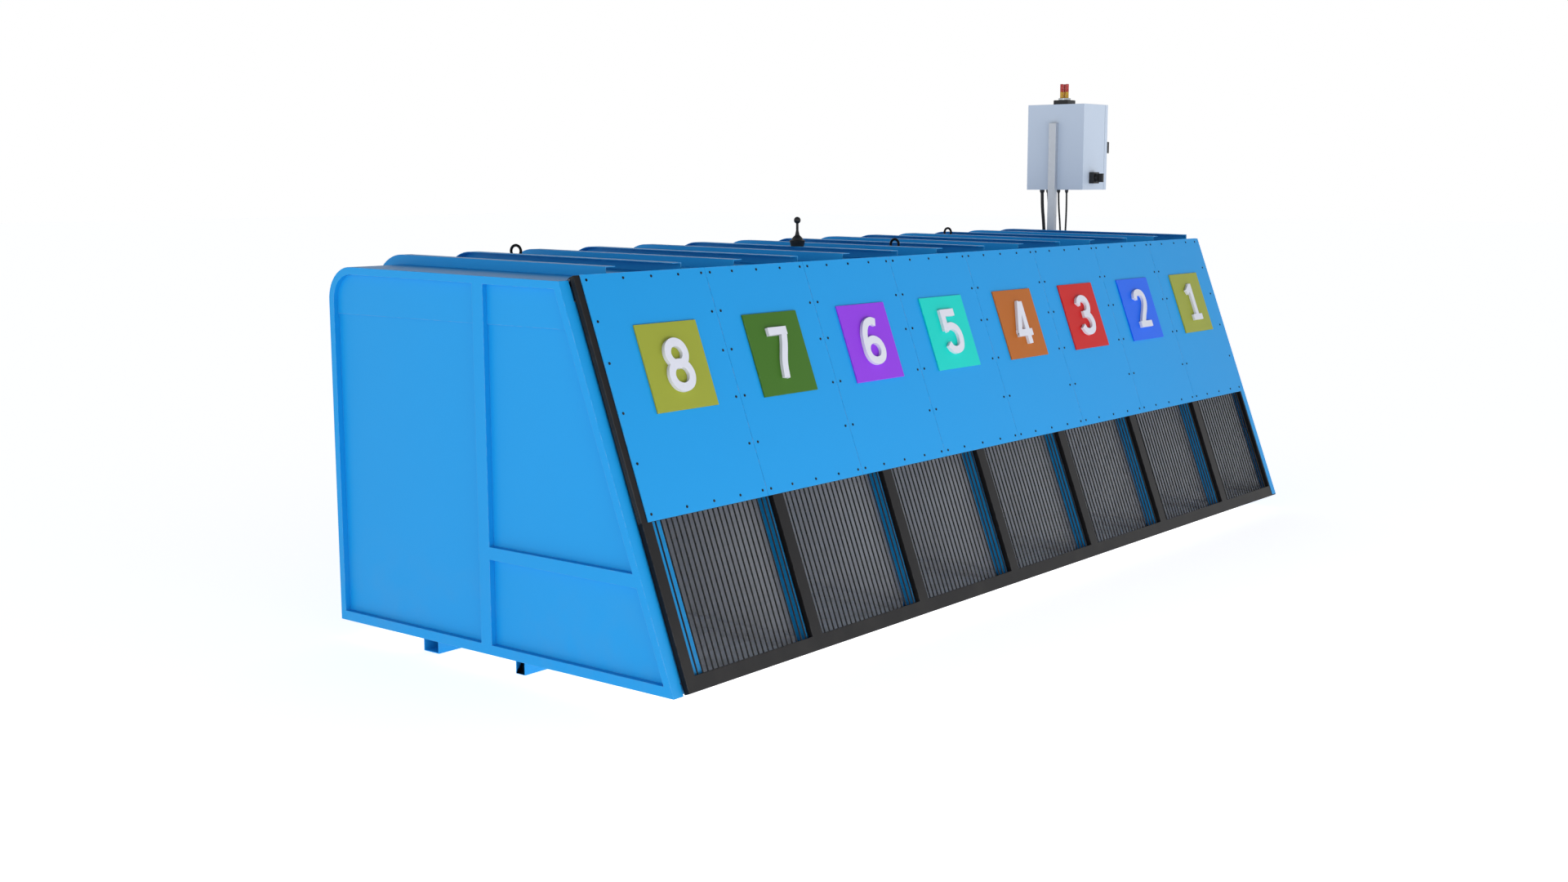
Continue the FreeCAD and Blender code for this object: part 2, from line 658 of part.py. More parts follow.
def digit_strokes(digit):
    """Solid strokes of a digit about the middle of its cell; h and w are centre line half sizes."""
    top = DIGIT_HEIGHT / 2
    side = DIGIT_WIDTH / 2
    half = DIGIT_STROKE / 2
    h = top - half
    w = side - half
    upper = h * 0.48
    lower = h * 0.52
    if digit == 1:
        flag = [(half, top), (-half, top), (-w, h * 0.86), (-w, h * 0.48), (half, h * 0.72)]
        return [band((0, top), (0, -top)), patch(flag), band((-w * 0.9, -h), (w * 0.9, -h))]
    if digit == 2:
        angle = math.radians(33.0)
        neck = (upper * math.cos(angle), h - upper - upper * math.sin(angle))
        return [bow(0, h - upper, upper, -33, 160), band(neck, (-w * 0.78, -h)),
                band((-side, -h), (side, -h))]
    if digit == 3:
        waist = h - 2 * upper
        return [bow(0, h - upper, upper, -90, 150), bow(0, lower - h, lower, -150, 90),
                band((-w * 0.4, waist), (w * 0.2, waist))]
    if digit == 4:
        bar = -h * 0.5
        diagonal = [(half * 1.3, top), (-half * 0.7, top), (-side, bar), (-side, bar - half),
                    (-side + half * 2, bar - half), (half * 1.3, h)]
        return [band((w * 0.5, top), (w * 0.5, -top)), patch(diagonal), band((-side, bar), (side, bar))]
    if digit == 5:
        shoulder = 2 * lower - h
        return [band((-w, top), (-w, shoulder - half)), band((-side, h), (side * 0.86, h)),
                band((-w, shoulder), (half / 2, shoulder)), bow(0, lower - h, lower, -145, 90)]
    if digit == 6:
        reach = h * 1.5
        lean = math.degrees(math.asin(0.92))
        return [ring(0, lower - h, lower), bow(reach - lower, lower - h, reach, 180 - lean, 182),
                bow(upper * 0.22, h - upper * 0.74, upper * 0.74, 20, 158)]
    if digit == 7:
        foot = -w * 0.2
        diagonal = [(side, top), (side, h * 0.86), (foot + half, -top), (foot - half * 1.2, -top),
                    (w - half * 1.3, h - half), (w - half, top)]
        return [band((-side, h), (side, h)), patch(diagonal)]
    return [ring(0, h - upper, upper), ring(0, lower - h, lower)]


def digit_solid(digit):
    """A raised digit about the middle of its cell, standing out to -Y."""
    strokes = digit_strokes(digit)
    solid = strokes[0].multiFuse(strokes[1:]).removeSplitter()
    solid.rotate(V(0, 0, 0), V(1, 0, 0), 90)
    return solid


def make_plates():
    front = GATE_DEPTH + PANEL_SHEET
    face = front + PLATE_THICK
    plates = []
    digits = []
    for i in range(PANELS):
        x = plate_centre(i)
        low = PLATE_CENTRE_S - PLATE / 2
        plates.append(slope_box(x - PLATE / 2, x + PLATE / 2, low, low + PLATE, front, face))
        solid = digit_solid(PANELS - i)
        solid.translate(V(x, -face, PLATE_CENTRE_S))
        digits.append(to_slope(solid))
    nodes["number_plates"] = Part.Compound(plates)
    nodes["plate_numbers"] = Part.Compound(digits)


def make_gate_hinges():
    """Knuckle on the gate, a knuckle each side of it on the header, and the pin."""
    v = -HINGE_BEHIND
    bore = GATE_PIN_RADIUS + PIN_CLEARANCE
    radius = GATE_BARREL_RADIUS
    moving = []
    fixed = []
    pins = []
    for x in gate_hinge_places():
        a = x - GATE_KNUCKLE / 2
        b = x + GATE_KNUCKLE / 2
        knuckle = slope_cylinder(a, b, HINGE_S, v, radius)
        web = slope_box(a, b, HINGE_S - radius, GATE_TOP - GATE_SHEET, v, GATE_DEPTH - GATE_SHEET)
        solid = knuckle.fuse(web).cut(slope_cylinder(a, b, HINGE_S, v, bore))
        moving.append(solid)
        for c in (a - KNUCKLE_GAP - GATE_KNUCKLE, b + KNUCKLE_GAP):
            d = c + GATE_KNUCKLE
            barrel = slope_cylinder(c, d, HINGE_S, v, radius)
            arm = slope_box(c, d, HINGE_S - 2.5 * radius, HINGE_S, -HEADER_BEHIND, v)
            fixed.append(barrel.fuse(arm).cut(slope_cylinder(c, d, HINGE_S, v, bore)))
        reach = GATE_KNUCKLE * 1.5 + KNUCKLE_GAP
        pins.append(slope_cylinder(x - reach, x + reach, HINGE_S, v, GATE_PIN_RADIUS))
    nodes["gate_hinge_knuckles"] = Part.Compound(moving)
    nodes["header_hinge_knuckles"] = Part.Compound(fixed)
    nodes["gate_hinge_pins"] = Part.Compound(pins)


def make_magnets():
    """Holding magnets on the front sill and steel keepers on the back of the gate's bottom rail."""
    magnets = []
    keepers = []
    for i in (1, BAYS // 2, BAYS - 1):
        x = divider_x(i) + BAY_POST
        s0 = GATE_BOTTOM + GATE_SHEET
        front = -KEEPER_THICK - MAGNET_GAP
        low = SILL_HEIGHT / COS - MAGNET_HEIGHT
        block = slope_box(x, x + MAGNET_WIDTH, low, low + MAGNET_HEIGHT, -60, front)
        clear = box(x, x + MAGNET_WIDTH, FRONT_SILL_Y, DEPTH, -SKID_HEIGHT, SILL_HEIGHT * 3)
        magnets.extend(block.cut(clear).Solids)
        keepers.append(slope_box(x, x + MAGNET_WIDTH, s0, s0 + GATE_RAIL - 2 * GATE_SHEET, -KEEPER_THICK, 0))
    nodes["gate_magnets"] = Part.Compound(magnets)
    nodes["gate_keepers"] = Part.Compound(keepers)


# --- rear doors --------------------------------------------------------------------------
def door_span(i):
    """Left and right edge of the rear doorway of bay i."""
    left = BAY_POST - INSIDE if i == 0 else divider_x(i) + BAY_POST / 2
    right = INSIDE - BAY_POST if i == BAYS - 1 else divider_x(i + 1) - BAY_POST / 2
    return left, right


def door_hinge_x(i):
    return door_span(i)[0] + DOOR_GAP / 2


def make_door(i):
    left, right = door_span(i)
    x0 = left + DOOR_GAP
    x1 = right - DOOR_GAP
    z0 = SILL_HEIGHT + DOOR_GAP
    z1 = REAR_HEADER_Z - DOOR_GAP
    y0 = POST_BACK - DOOR_DEPTH
    door = box(x0, x1, y0, POST_BACK, z0, z1)
    door = door.cut(box(x0 + DOOR_WALL, x1 - DOOR_WALL, y0, POST_BACK - DOOR_WALL,
                        z0 + DOOR_WALL, z1 - DOOR_WALL))
    step = (x1 - x0) / (VENT_COLUMNS + 1)
    vents = []
    for row in range(VENT_ROWS):
        for column in range(VENT_COLUMNS):
            x = x0 + step * (column + 1)
            z = VENT_TOP_Z - row * VENT_PITCH_Z
            vents.append(box(x - VENT_LENGTH / 2, x + VENT_LENGTH / 2, y0, POST_BACK,
                             z - VENT_HEIGHT / 2, z + VENT_HEIGHT / 2))
    door = door.cut(Part.Compound(vents))
    axis_x = door_hinge_x(i)
    axis_y = POST_BACK + DOOR_LEAF + DOOR_BARREL_RADIUS - 2
    hinge_bore = DOOR_PIN_RADIUS + PIN_CLEARANCE
    for z in (DOOR_HINGE_LOW, DOOR_HINGE_HIGH):
        low = z - DOOR_KNUCKLE / 2
        knuckle = Part.makeCylinder(DOOR_BARREL_RADIUS, DOOR_KNUCKLE, V(axis_x, axis_y, low))
        leaf = box(axis_x, axis_x + DOOR_LEAF_WIDTH, POST_BACK, POST_BACK + DOOR_LEAF,
                   low, low + DOOR_KNUCKLE)
        solid = knuckle.fuse(leaf)
        door = door.fuse(solid)
        door = door.cut(Part.makeCylinder(hinge_bore, DOOR_KNUCKLE, V(axis_x, axis_y, low)))
    for offset in (BOLT_GUIDE - BOLT_LENGTH, -BOLT_GUIDE * 2):
        gx = x1 + offset
        guide = box(gx, gx + BOLT_GUIDE, POST_BACK, POST_BACK + 2 * BOLT_STANDOFF,
                    BOLT_Z - BOLT_STANDOFF, BOLT_Z + BOLT_STANDOFF)
        hole = Part.makeCylinder(BOLT_RADIUS + BOLT_CLEARANCE, BOLT_GUIDE,
                                 V(gx, POST_BACK + BOLT_STANDOFF, BOLT_Z), V(1, 0, 0))
        door = door.fuse(guide.cut(hole))
    nodes["rear_door_%d" % (i + 1)] = door


def make_door_bolt(i):
    """Slide bolt, drawn back. It moves to +X into its keeper on the post."""
    x1 = door_span(i)[1] - DOOR_GAP
    y = POST_BACK + BOLT_STANDOFF
    rod = Part.makeCylinder(BOLT_RADIUS, BOLT_LENGTH, V(x1 - BOLT_LENGTH, y, BOLT_Z), V(1, 0, 0))
    knob_x = x1 - BOLT_LENGTH + BOLT_GUIDE * 2 + BOLT_KNOB_RADIUS + KNUCKLE_GAP
    knob = Part.makeCylinder(BOLT_KNOB_RADIUS, BOLT_KNOB, V(knob_x, y, BOLT_Z), V(0, 1, 0))
    nodes["door_bolt_%d" % (i + 1)] = rod.fuse(knob)


def make_door_fittings():
    pins = []
    knuckles = []
    keepers = []
    hinge_bore = DOOR_PIN_RADIUS + PIN_CLEARANCE
    axis_y = POST_BACK + DOOR_LEAF + DOOR_BARREL_RADIUS - 2
    for i in range(BAYS):
        axis_x = door_hinge_x(i)
        for z in (DOOR_HINGE_LOW, DOOR_HINGE_HIGH):
            reach = DOOR_KNUCKLE * 1.5 + KNUCKLE_GAP
            pins.append(Part.makeCylinder(DOOR_PIN_RADIUS, 2 * reach, V(axis_x, axis_y, z - reach)))
            for low in (z - reach, z + DOOR_KNUCKLE / 2 + KNUCKLE_GAP):
                barrel = Part.makeCylinder(DOOR_BARREL_RADIUS, DOOR_KNUCKLE, V(axis_x, axis_y, low))
                leaf = box(axis_x - DOOR_LEAF_WIDTH, axis_x, POST_BACK, POST_BACK + DOOR_LEAF,
                           low, low + DOOR_KNUCKLE)
                bore = Part.makeCylinder(hinge_bore, DOOR_KNUCKLE, V(axis_x, axis_y, low))
                knuckles.append(barrel.fuse(leaf).cut(bore))
        x = door_span(i)[1] + BOLT_CLEARANCE
        y = POST_BACK + BOLT_STANDOFF
        keeper = box(x, x + BOLT_GUIDE, POST_BACK, POST_BACK + 2 * BOLT_STANDOFF,
                     BOLT_Z - BOLT_STANDOFF, BOLT_Z + BOLT_STANDOFF)
        hole = Part.makeCylinder(BOLT_RADIUS + 1.0, BOLT_GUIDE, V(x, y, BOLT_Z), V(1, 0, 0))
        keepers.append(keeper.cut(hole))
    nodes["door_hinge_pins"] = Part.Compound(pins)
    nodes["post_hinge_knuckles"] = Part.Compound(knuckles)
    nodes["bolt_keepers"] = Part.Compound(keepers)


# --- mast and control box ----------------------------------------------------------------
def make_mast():
    y1 = MAST_Y + MAST_SIZE_Y
    middle = MAST_Y + MAST_SIZE_Y / 2
    foot_top = roof_z(middle) + MAST_FOOT
    tube_up = tube_z(MAST_X, BOX_X, MAST_Y, y1, foot_top, MAST_TOP, TUBE_WALL)
    m = MAST_FOOT_MARGIN
    y0 = MAST_Y - 2 * m
    y2 = y1 + 2 * m
    foot = profile([(y0, roof_z(y0)), (y2, roof_z(y2)), (y2, foot_top), (y0, foot_top)],
                   MAST_X - m, INSIDE)
    nodes["mast"] = tube_up.fuse(foot).removeSplitter()


def control_front():
    return BOX_X + BOX_SIZE_X


def make_control_box():
    w = BOX_WALL
    x1 = control_front()
    y1 = BOX_Y + BOX_SIZE_Y
    z1 = BOX_Z + BOX_SIZE_Z
    body = box(BOX_X, x1, BOX_Y, y1, BOX_Z, z1)
    nodes["control_box"] = body.cut(box(BOX_X + w, x1, BOX_Y + w, y1 - w, BOX_Z + w, z1 - w))


def make_control_door():
    """Door of the control box, on two pin hinges behind its rear edge, and its wing lock."""
    w = BOX_WALL
    y1 = BOX_Y + BOX_SIZE_Y
    z1 = BOX_Z + BOX_SIZE_Z
    door_x = control_front() + BOX_DOOR_GAP
    skin_x = door_x + BOX_DOOR - w
    door = box(door_x, door_x + BOX_DOOR, BOX_Y, y1, BOX_Z, z1)
    door = door.cut(box(door_x, skin_x, BOX_Y + w, y1 - w, BOX_Z + w, z1 - w))
    lock_y = BOX_Y + LOCK_Y
    lock_z = BOX_Z + BOX_SIZE_Z / 2
    lock_hole = Part.makeCylinder(LOCK_HUB_RADIUS + PIN_CLEARANCE, w, V(skin_x, lock_y, lock_z), V(1, 0, 0))
    door = door.cut(lock_hole)
    pins = []
    axis_x = door_x + BOX_DOOR / 2
    axis_y = y1 + DOOR_BARREL_RADIUS + BARREL_GAP
    bore = BOX_PIN_RADIUS + PIN_CLEARANCE
    radius = DOOR_BARREL_RADIUS
    knuckles = []
    for z in (BOX_Z + BOX_SIZE_Z * 0.2, BOX_Z + BOX_SIZE_Z * 0.8):
        low = z - DOOR_KNUCKLE / 2
        barrel = Part.makeCylinder(radius, DOOR_KNUCKLE, V(axis_x, axis_y, low))
        cut = Part.makeCylinder(bore, DOOR_KNUCKLE, V(axis_x, axis_y, low))
        strap = box(axis_x, door_x + BOX_DOOR, y1, y1 + w, low, low + DOOR_KNUCKLE)
        door = door.fuse(barrel).fuse(strap).cut(cut)
        reach = DOOR_KNUCKLE * 1.5 + KNUCKLE_GAP
        pins.append(Part.makeCylinder(BOX_PIN_RADIUS, 2 * reach, V(axis_x, axis_y, z - reach)))
        for start in (z - reach, z + DOOR_KNUCKLE / 2 + KNUCKLE_GAP):
            ring = Part.makeCylinder(radius, DOOR_KNUCKLE, V(axis_x, axis_y, start))
            arm = box(control_front() - 4 * radius, axis_x, y1 + radius, y1 + radius + w,
                      start, start + DOOR_KNUCKLE)
            root = box(control_front() - 4 * radius, control_front() - 2 * radius, y1,
                       y1 + radius + w, start, start + DOOR_KNUCKLE)
            hole = Part.makeCylinder(bore, DOOR_KNUCKLE, V(axis_x, axis_y, start))
            knuckles.append(ring.fuse(arm).fuse(root).cut(hole))
    nodes["control_door"] = door
    nodes["control_hinges"] = Part.Compound(knuckles)
    nodes["control_hinge_pins"] = Part.Compound(pins)
    hub = Part.makeCylinder(LOCK_HUB_RADIUS, w + LOCK_HUB, V(skin_x, lock_y, lock_z), V(1, 0, 0))
    wing_x = skin_x + w + LOCK_HUB
    wing = box(wing_x, wing_x + LOCK_DEPTH - LOCK_HUB, lock_y - LOCK_WIDTH / 2, lock_y + LOCK_WIDTH / 2,
               lock_z - LOCK_HEIGHT / 2, lock_z + LOCK_HEIGHT / 2)
    nodes["control_lock"] = hub.fuse(wing)


def make_switch():
    """Rotary main switch on the narrow front of the control box."""
    x = BOX_X + SWITCH_X
    z = BOX_Z + SWITCH_Z
    h = SWITCH_BASE / 2
    base_y = BOX_Y - SWITCH_BASE_DEPTH
    base = box(x - h, x + h, base_y, BOX_Y, z - h, z + h)
    spindle_radius = SWITCH_KNOB_RADIUS / 3
    bore = spindle_radius + PIN_CLEARANCE
    seat = Part.makeCylinder(bore, SWITCH_BASE_DEPTH / 2, V(x, base_y, z), V(0, 1, 0))
    nodes["switch_base"] = base.cut(seat)
    gap = 0.3
    spindle = Part.makeCylinder(spindle_radius, SWITCH_BASE_DEPTH / 2 - gap + 1,
                                V(x, base_y - 1, z), V(0, 1, 0))
    disc_depth = SWITCH_KNOB_DEPTH / 3
    disc_y = base_y - gap - disc_depth
    disc = Part.makeCylinder(SWITCH_KNOB_RADIUS, disc_depth, V(x, disc_y, z), V(0, 1, 0))
    grip = box(x - SWITCH_GRIP / 2, x + SWITCH_GRIP / 2, base_y - SWITCH_KNOB_DEPTH, disc_y,
               z - SWITCH_KNOB_RADIUS, z + SWITCH_KNOB_RADIUS)
    nodes["switch_knob"] = disc.fuse(spindle).fuse(grip)


def make_lights():
    x = BOX_X + LIGHT_X
    y = BOX_Y + LIGHT_Y
    top = BOX_Z + BOX_SIZE_Z
    h = LIGHT_BASE / 2
    nodes["light_base"] = box(x - h, x + h, y - h, y + h, top, top + LIGHT_BASE_HEIGHT)
    foot_z = top + LIGHT_BASE_HEIGHT
    foot_radius = LIGHT_CIRCLE + LIGHT_COLUMN_RADIUS + LIGHT_FOOT_RIM
    nodes["light_foot"] = Part.makeCylinder(foot_radius, LIGHT_FOOT, V(x, y, foot_z))
    yellow = []
    red = []
    for i in range(3):
        angle = math.radians(120 * i + 20)
        cx = x + LIGHT_CIRCLE * math.cos(angle)
        cy = y + LIGHT_CIRCLE * math.sin(angle)
        z = foot_z + LIGHT_FOOT
        yellow.append(Part.makeCylinder(LIGHT_COLUMN_RADIUS, LIGHT_YELLOW, V(cx, cy, z)))
        red.append(Part.makeCylinder(LIGHT_COLUMN_RADIUS, LIGHT_RED, V(cx, cy, z + LIGHT_YELLOW)))
    nodes["yellow_lights"] = Part.Compound(yellow)
    nodes["red_lights"] = Part.Compound(red)


def smooth_path(points):
    """Straight runs joined by tangent arcs that are as large as the shorter run allows."""
    edges = []
    here = points[0]
    for before, corner, after in zip(points, points[1:], points[2:]):
        a = before - corner
        b = after - corner
        shorter = min(a.Length, b.Length)
        a.normalize()
        b.normalize()
        turn = math.pi - a.getAngle(b)
        reach = 0.45 * shorter
        radius = reach / math.tan(turn / 2)
        start = corner + a * reach
        end = corner + b * reach
        inward = a + b
        inward.normalize()
        centre = corner + inward * (reach / math.sin(turn / 2) if turn > 0 else 0)
        middle = centre - inward * radius
        edges.append(Part.LineSegment(here, start).toShape())
        edges.append(Part.Arc(start, middle, end).toShape())
        here = end
    edges.append(Part.LineSegment(here, points[-1]).toShape())
    return Part.Wire(edges)


def cable(points, radius):
    path = smooth_path(points)
    start = points[0]
    direction = points[1] - points[0]
    circle = Part.Wire(Part.makeCircle(radius, start, direction))
    print("cable length", round(path.Length, 1))
    return path.makePipeShell([circle], True, False)


def cable_places():
    """Each cable: Y at its gland, Y at its grommet, how far its middle stands out, its radius."""
    return ((1268.0, 1252.0, 10.0, MAIN_CABLE_RADIUS), (1236.0, 1226.0, -9.0, SMALL_CABLE_RADIUS),
            (1175.0, 1160.0, 8.0, SMALL_CABLE_RADIUS), (1130.0, 1133.0, -7.0, SMALL_CABLE_RADIUS))


def make_cables():
    x = BOX_X + CABLE_X
    glands = []
    grommets = []
    small = []
    for gland_y, foot_y, bow, radius in cable_places():
        body = radius + 4.0
        nut = Part.makeCylinder(body, GLAND_HEIGHT / 2, V(x, gland_y, BOX_Z - GLAND_HEIGHT / 2))
        cone = Part.makeCone(radius + 1.0, body, GLAND_HEIGHT / 2, V(x, gland_y, BOX_Z - GLAND_HEIGHT))
        glands.append(nut.fuse(cone).removeSplitter())
        seat = roof_z(foot_y)
        high = seat + GROMMET_HEIGHT
        ring = Part.makeCylinder(radius + 3.0, GROMMET_HEIGHT * 2, V(x, foot_y, seat - GROMMET_HEIGHT))
        under = profile([(foot_y - 30, roof_z(foot_y - 30)), (foot_y + 30, roof_z(foot_y + 30)),
                         (foot_y + 30, seat - 40), (foot_y - 30, seat - 40)], x - 20, x + 20)
        grommets.append(ring.cut(under))
        top = BOX_Z - GLAND_HEIGHT
        third = (top - high) / 3
        shift = (foot_y - gland_y) / 3
        points = [V(x, gland_y, top), V(x - bow / 2, gland_y + shift, top - third),
                  V(x - bow / 2, foot_y - shift / 2, high + third), V(x, foot_y, high)]
        solid = cable(points, radius)
        if radius == MAIN_CABLE_RADIUS:
            nodes["main_cable"] = solid
        else:
            small.append(solid)
    nodes["small_cables"] = Part.Compound(small)
    nodes["cable_glands"] = Part.Compound(glands)
    nodes["cable_grommets"] = Part.Compound(grommets)


# --- antenna and lifting eyes ------------------------------------------------------------
def make_antenna():
    """Turned stub antenna with a ball on top, standing on a rib's flange."""
    x = divider_x(ANTENNA_RIB) + RIB_RIGHT - RIB_FLANGE / 2
    seat = roof_z(ANTENNA_Y, RIB_HEIGHT)
    outline = [(0, 0), (25, 0), (26, 5), (30, 22), (22, 25), (20, 31), (9, 42), (5, 60), (5, 92)]
    points = [V(r, 0, z) for r, z in outline] + [V(0, 0, outline[-1][1])]
    edges = [Part.LineSegment(a, b).toShape() for a, b in zip(points, points[1:] + points[:1])]
    stem = Part.Face(Part.Wire(edges)).revolve(V(0, 0, 0), V(0, 0, 1), 360)
    ball = Part.makeSphere(ANTENNA_BALL, V(0, 0, ANTENNA_HEIGHT - ANTENNA_BALL))
    solid = stem.fuse(ball)
    solid.translate(V(x, ANTENNA_Y, seat))
    under = profile([(ANTENNA_Y - 60, roof_z(ANTENNA_Y - 60, RIB_HEIGHT)),
                     (ANTENNA_Y + 60, roof_z(ANTENNA_Y + 60, RIB_HEIGHT)),
                     (ANTENNA_Y + 60, seat - 50), (ANTENNA_Y - 60, seat - 50)], x - 60, x + 60)
    nodes["antenna"] = solid.cut(under)


def make_eyes():
    """Lifting eyes: a ring on a collar, each turned as it was tightened."""
    eyes = []
    tube_radius = (EYE_OUTER - EYE_BORE) / 2
    for x, y, turn in EYE_PLACES:
        seat = roof_z(y)
        centre_z = EYE_COLLAR - tube_radius / 2 + EYE_OUTER
        ring = Part.makeTorus(EYE_BORE + tube_radius, tube_radius, V(0, 0, centre_z), V(1, 0, 0))
        collar = Part.makeCone(EYE_COLLAR_RADIUS, EYE_COLLAR_RADIUS * 0.6, EYE_COLLAR + 4, V(0, 0, -4))
        bore = Part.makeCylinder(EYE_BORE, EYE_OUTER, V(-EYE_OUTER / 2, 0, centre_z), V(1, 0, 0))
        solid = ring.fuse(collar).cut(bore)
        solid.rotate(V(0, 0, 0), V(0, 0, 1), turn)
        solid.translate(V(x, y, seat))
        below = profile([(y - 60, roof_z(y - 60)), (y + 60, roof_z(y + 60)),
                         (y + 60, seat - 50), (y - 60, seat - 50)], x - 60, x + 60)
        eyes.append(solid.cut(below))
    nodes["lifting_eyes"] = Part.Compound(eyes)


# --- everything --------------------------------------------------------------------------
def whole_box():
    bounds = FreeCAD.BoundBox()
    for shape in nodes.values():
        bounds.add(shape.BoundBox)
    return bounds


def build():
    make_skids()
    make_floor()
    make_end("left", -1)
    make_end("right", 1)
    make_filler()
    make_headers()
    make_dividers()
    make_roof()
    make_ribs()
    make_gate_frame()
    make_gate_bars()
    make_panels()
    make_plates()
    make_gate_hinges()
    make_magnets()
    for i in range(BAYS):
        make_door(i)
        make_door_bolt(i)
    make_door_fittings()
    make_mast()
    make_control_box()
    make_control_door()
    make_switch()
    make_lights()
    make_cables()
    make_antenna()
    make_eyes()


build()
bounds = whole_box()
origin = V(bounds.Center.x, bounds.Center.y, bounds.ZMin)
print("origin in the layout frame", [round(value, 3) for value in origin])
print("overall size", round(bounds.XLength, 1), round(bounds.YLength, 1), round(bounds.ZLength, 1))
for name, shape in nodes.items():
    placed = shape.copy()
    placed.translate(origin * -1)
    solids = placed.Solids
    if not solids or not all(solid.isValid() for solid in solids):
        print("check", name)
    placed.exportStep("parts/%s.step" % name)
print(len(nodes), "nodes")
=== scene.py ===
import bpy
import bmesh
import json
import math
from mathutils import Matrix, Vector


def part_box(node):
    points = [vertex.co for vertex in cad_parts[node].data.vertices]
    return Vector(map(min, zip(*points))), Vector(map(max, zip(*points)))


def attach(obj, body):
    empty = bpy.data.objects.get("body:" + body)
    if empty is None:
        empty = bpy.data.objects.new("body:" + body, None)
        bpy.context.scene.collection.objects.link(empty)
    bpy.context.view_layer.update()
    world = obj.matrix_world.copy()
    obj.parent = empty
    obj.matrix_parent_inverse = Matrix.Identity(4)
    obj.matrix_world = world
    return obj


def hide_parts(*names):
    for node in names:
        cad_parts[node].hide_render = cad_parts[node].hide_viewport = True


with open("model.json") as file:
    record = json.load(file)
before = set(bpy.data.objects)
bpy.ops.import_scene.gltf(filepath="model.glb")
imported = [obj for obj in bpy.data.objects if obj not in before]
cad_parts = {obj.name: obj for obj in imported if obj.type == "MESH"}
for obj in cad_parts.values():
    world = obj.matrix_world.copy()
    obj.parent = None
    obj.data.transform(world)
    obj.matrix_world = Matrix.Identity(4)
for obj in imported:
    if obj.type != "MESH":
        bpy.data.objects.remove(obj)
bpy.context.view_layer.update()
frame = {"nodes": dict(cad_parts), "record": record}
nodes = frame["nodes"]

SLOPE = math.radians(20.36)                       # lean of the gate from upright
OUT = Vector((0, -math.cos(SLOPE), math.sin(SLOPE)))   # straight out of the closed gate
UP = Vector((0, math.sin(SLOPE), math.cos(SLOPE)))     # up the closed gate


# ---------------------------------------------------------------------------------------
# Finishes
# ---------------------------------------------------------------------------------------
def srgb(hex_colour):
    """A colour written as hex, in the linear values that shaders take."""
    parts = [int(hex_colour[i:i + 2], 16) / 255 for i in (1, 3, 5)]
    return tuple(((c + 0.055) / 1.055) ** 2.4 if c > 0.04045 else c / 12.92 for c in parts) + (1.0,)


def new_group(name, inputs, outputs):
    """An empty shader group with named sockets: inputs as (name, kind, default)."""
    group = bpy.data.node_groups.new(name, "ShaderNodeTree")
    for socket, kind, value in inputs:
        made = group.interface.new_socket(name=socket, in_out="INPUT", socket_type=kind)
        made.default_value = value
    for socket, kind in outputs:
        group.interface.new_socket(name=socket, in_out="OUTPUT", socket_type=kind)
    return group, group.nodes.new("NodeGroupInput"), group.nodes.new("NodeGroupOutput")


def noise(tree, place, scale, detail):
    """A noise texture over a position."""
    texture = tree.nodes.new("ShaderNodeTexNoise")
    texture.inputs["Scale"].default_value = scale
    texture.inputs["Detail"].default_value = detail
    tree.links.new(place, texture.inputs["Vector"])
    return texture.outputs["Fac"]


def spread(tree, value, low, high):
    """A value's range from low to high, spread over 0 to 1."""
    ramp = tree.nodes.new("ShaderNodeMapRange")
    ramp.inputs["From Min"].default_value = low
    ramp.inputs["From Max"].default_value = high
    tree.links.new(value, ramp.inputs["Value"])
    return ramp.outputs["Result"]


def maths(tree, operation, a, b):
    """The result of one operation on two values, each a socket or a number."""
    node = tree.nodes.new("ShaderNodeMath")
    node.operation = operation
    for socket, value in zip(node.inputs, (a, b)):
        if isinstance(value, (int, float)):
            socket.default_value = value
        else:
            tree.links.new(value, socket)
    return node.outputs["Value"]


def blend_colour(tree, factor, a, b):
    """A blend of two colours, each a socket or a colour, by a factor."""
    node = tree.nodes.new("ShaderNodeMix")
    node.data_type = "RGBA"
    # a mix node keeps its colour inputs at places 6 and 7 and its colour output at place 2
    for index, value in ((0, factor), (6, a), (7, b)):
        if isinstance(value, (int, float, tuple)):
            node.inputs[index].default_value = value
        else:
            tree.links.new(value, node.inputs[index])
    return node.outputs[2]


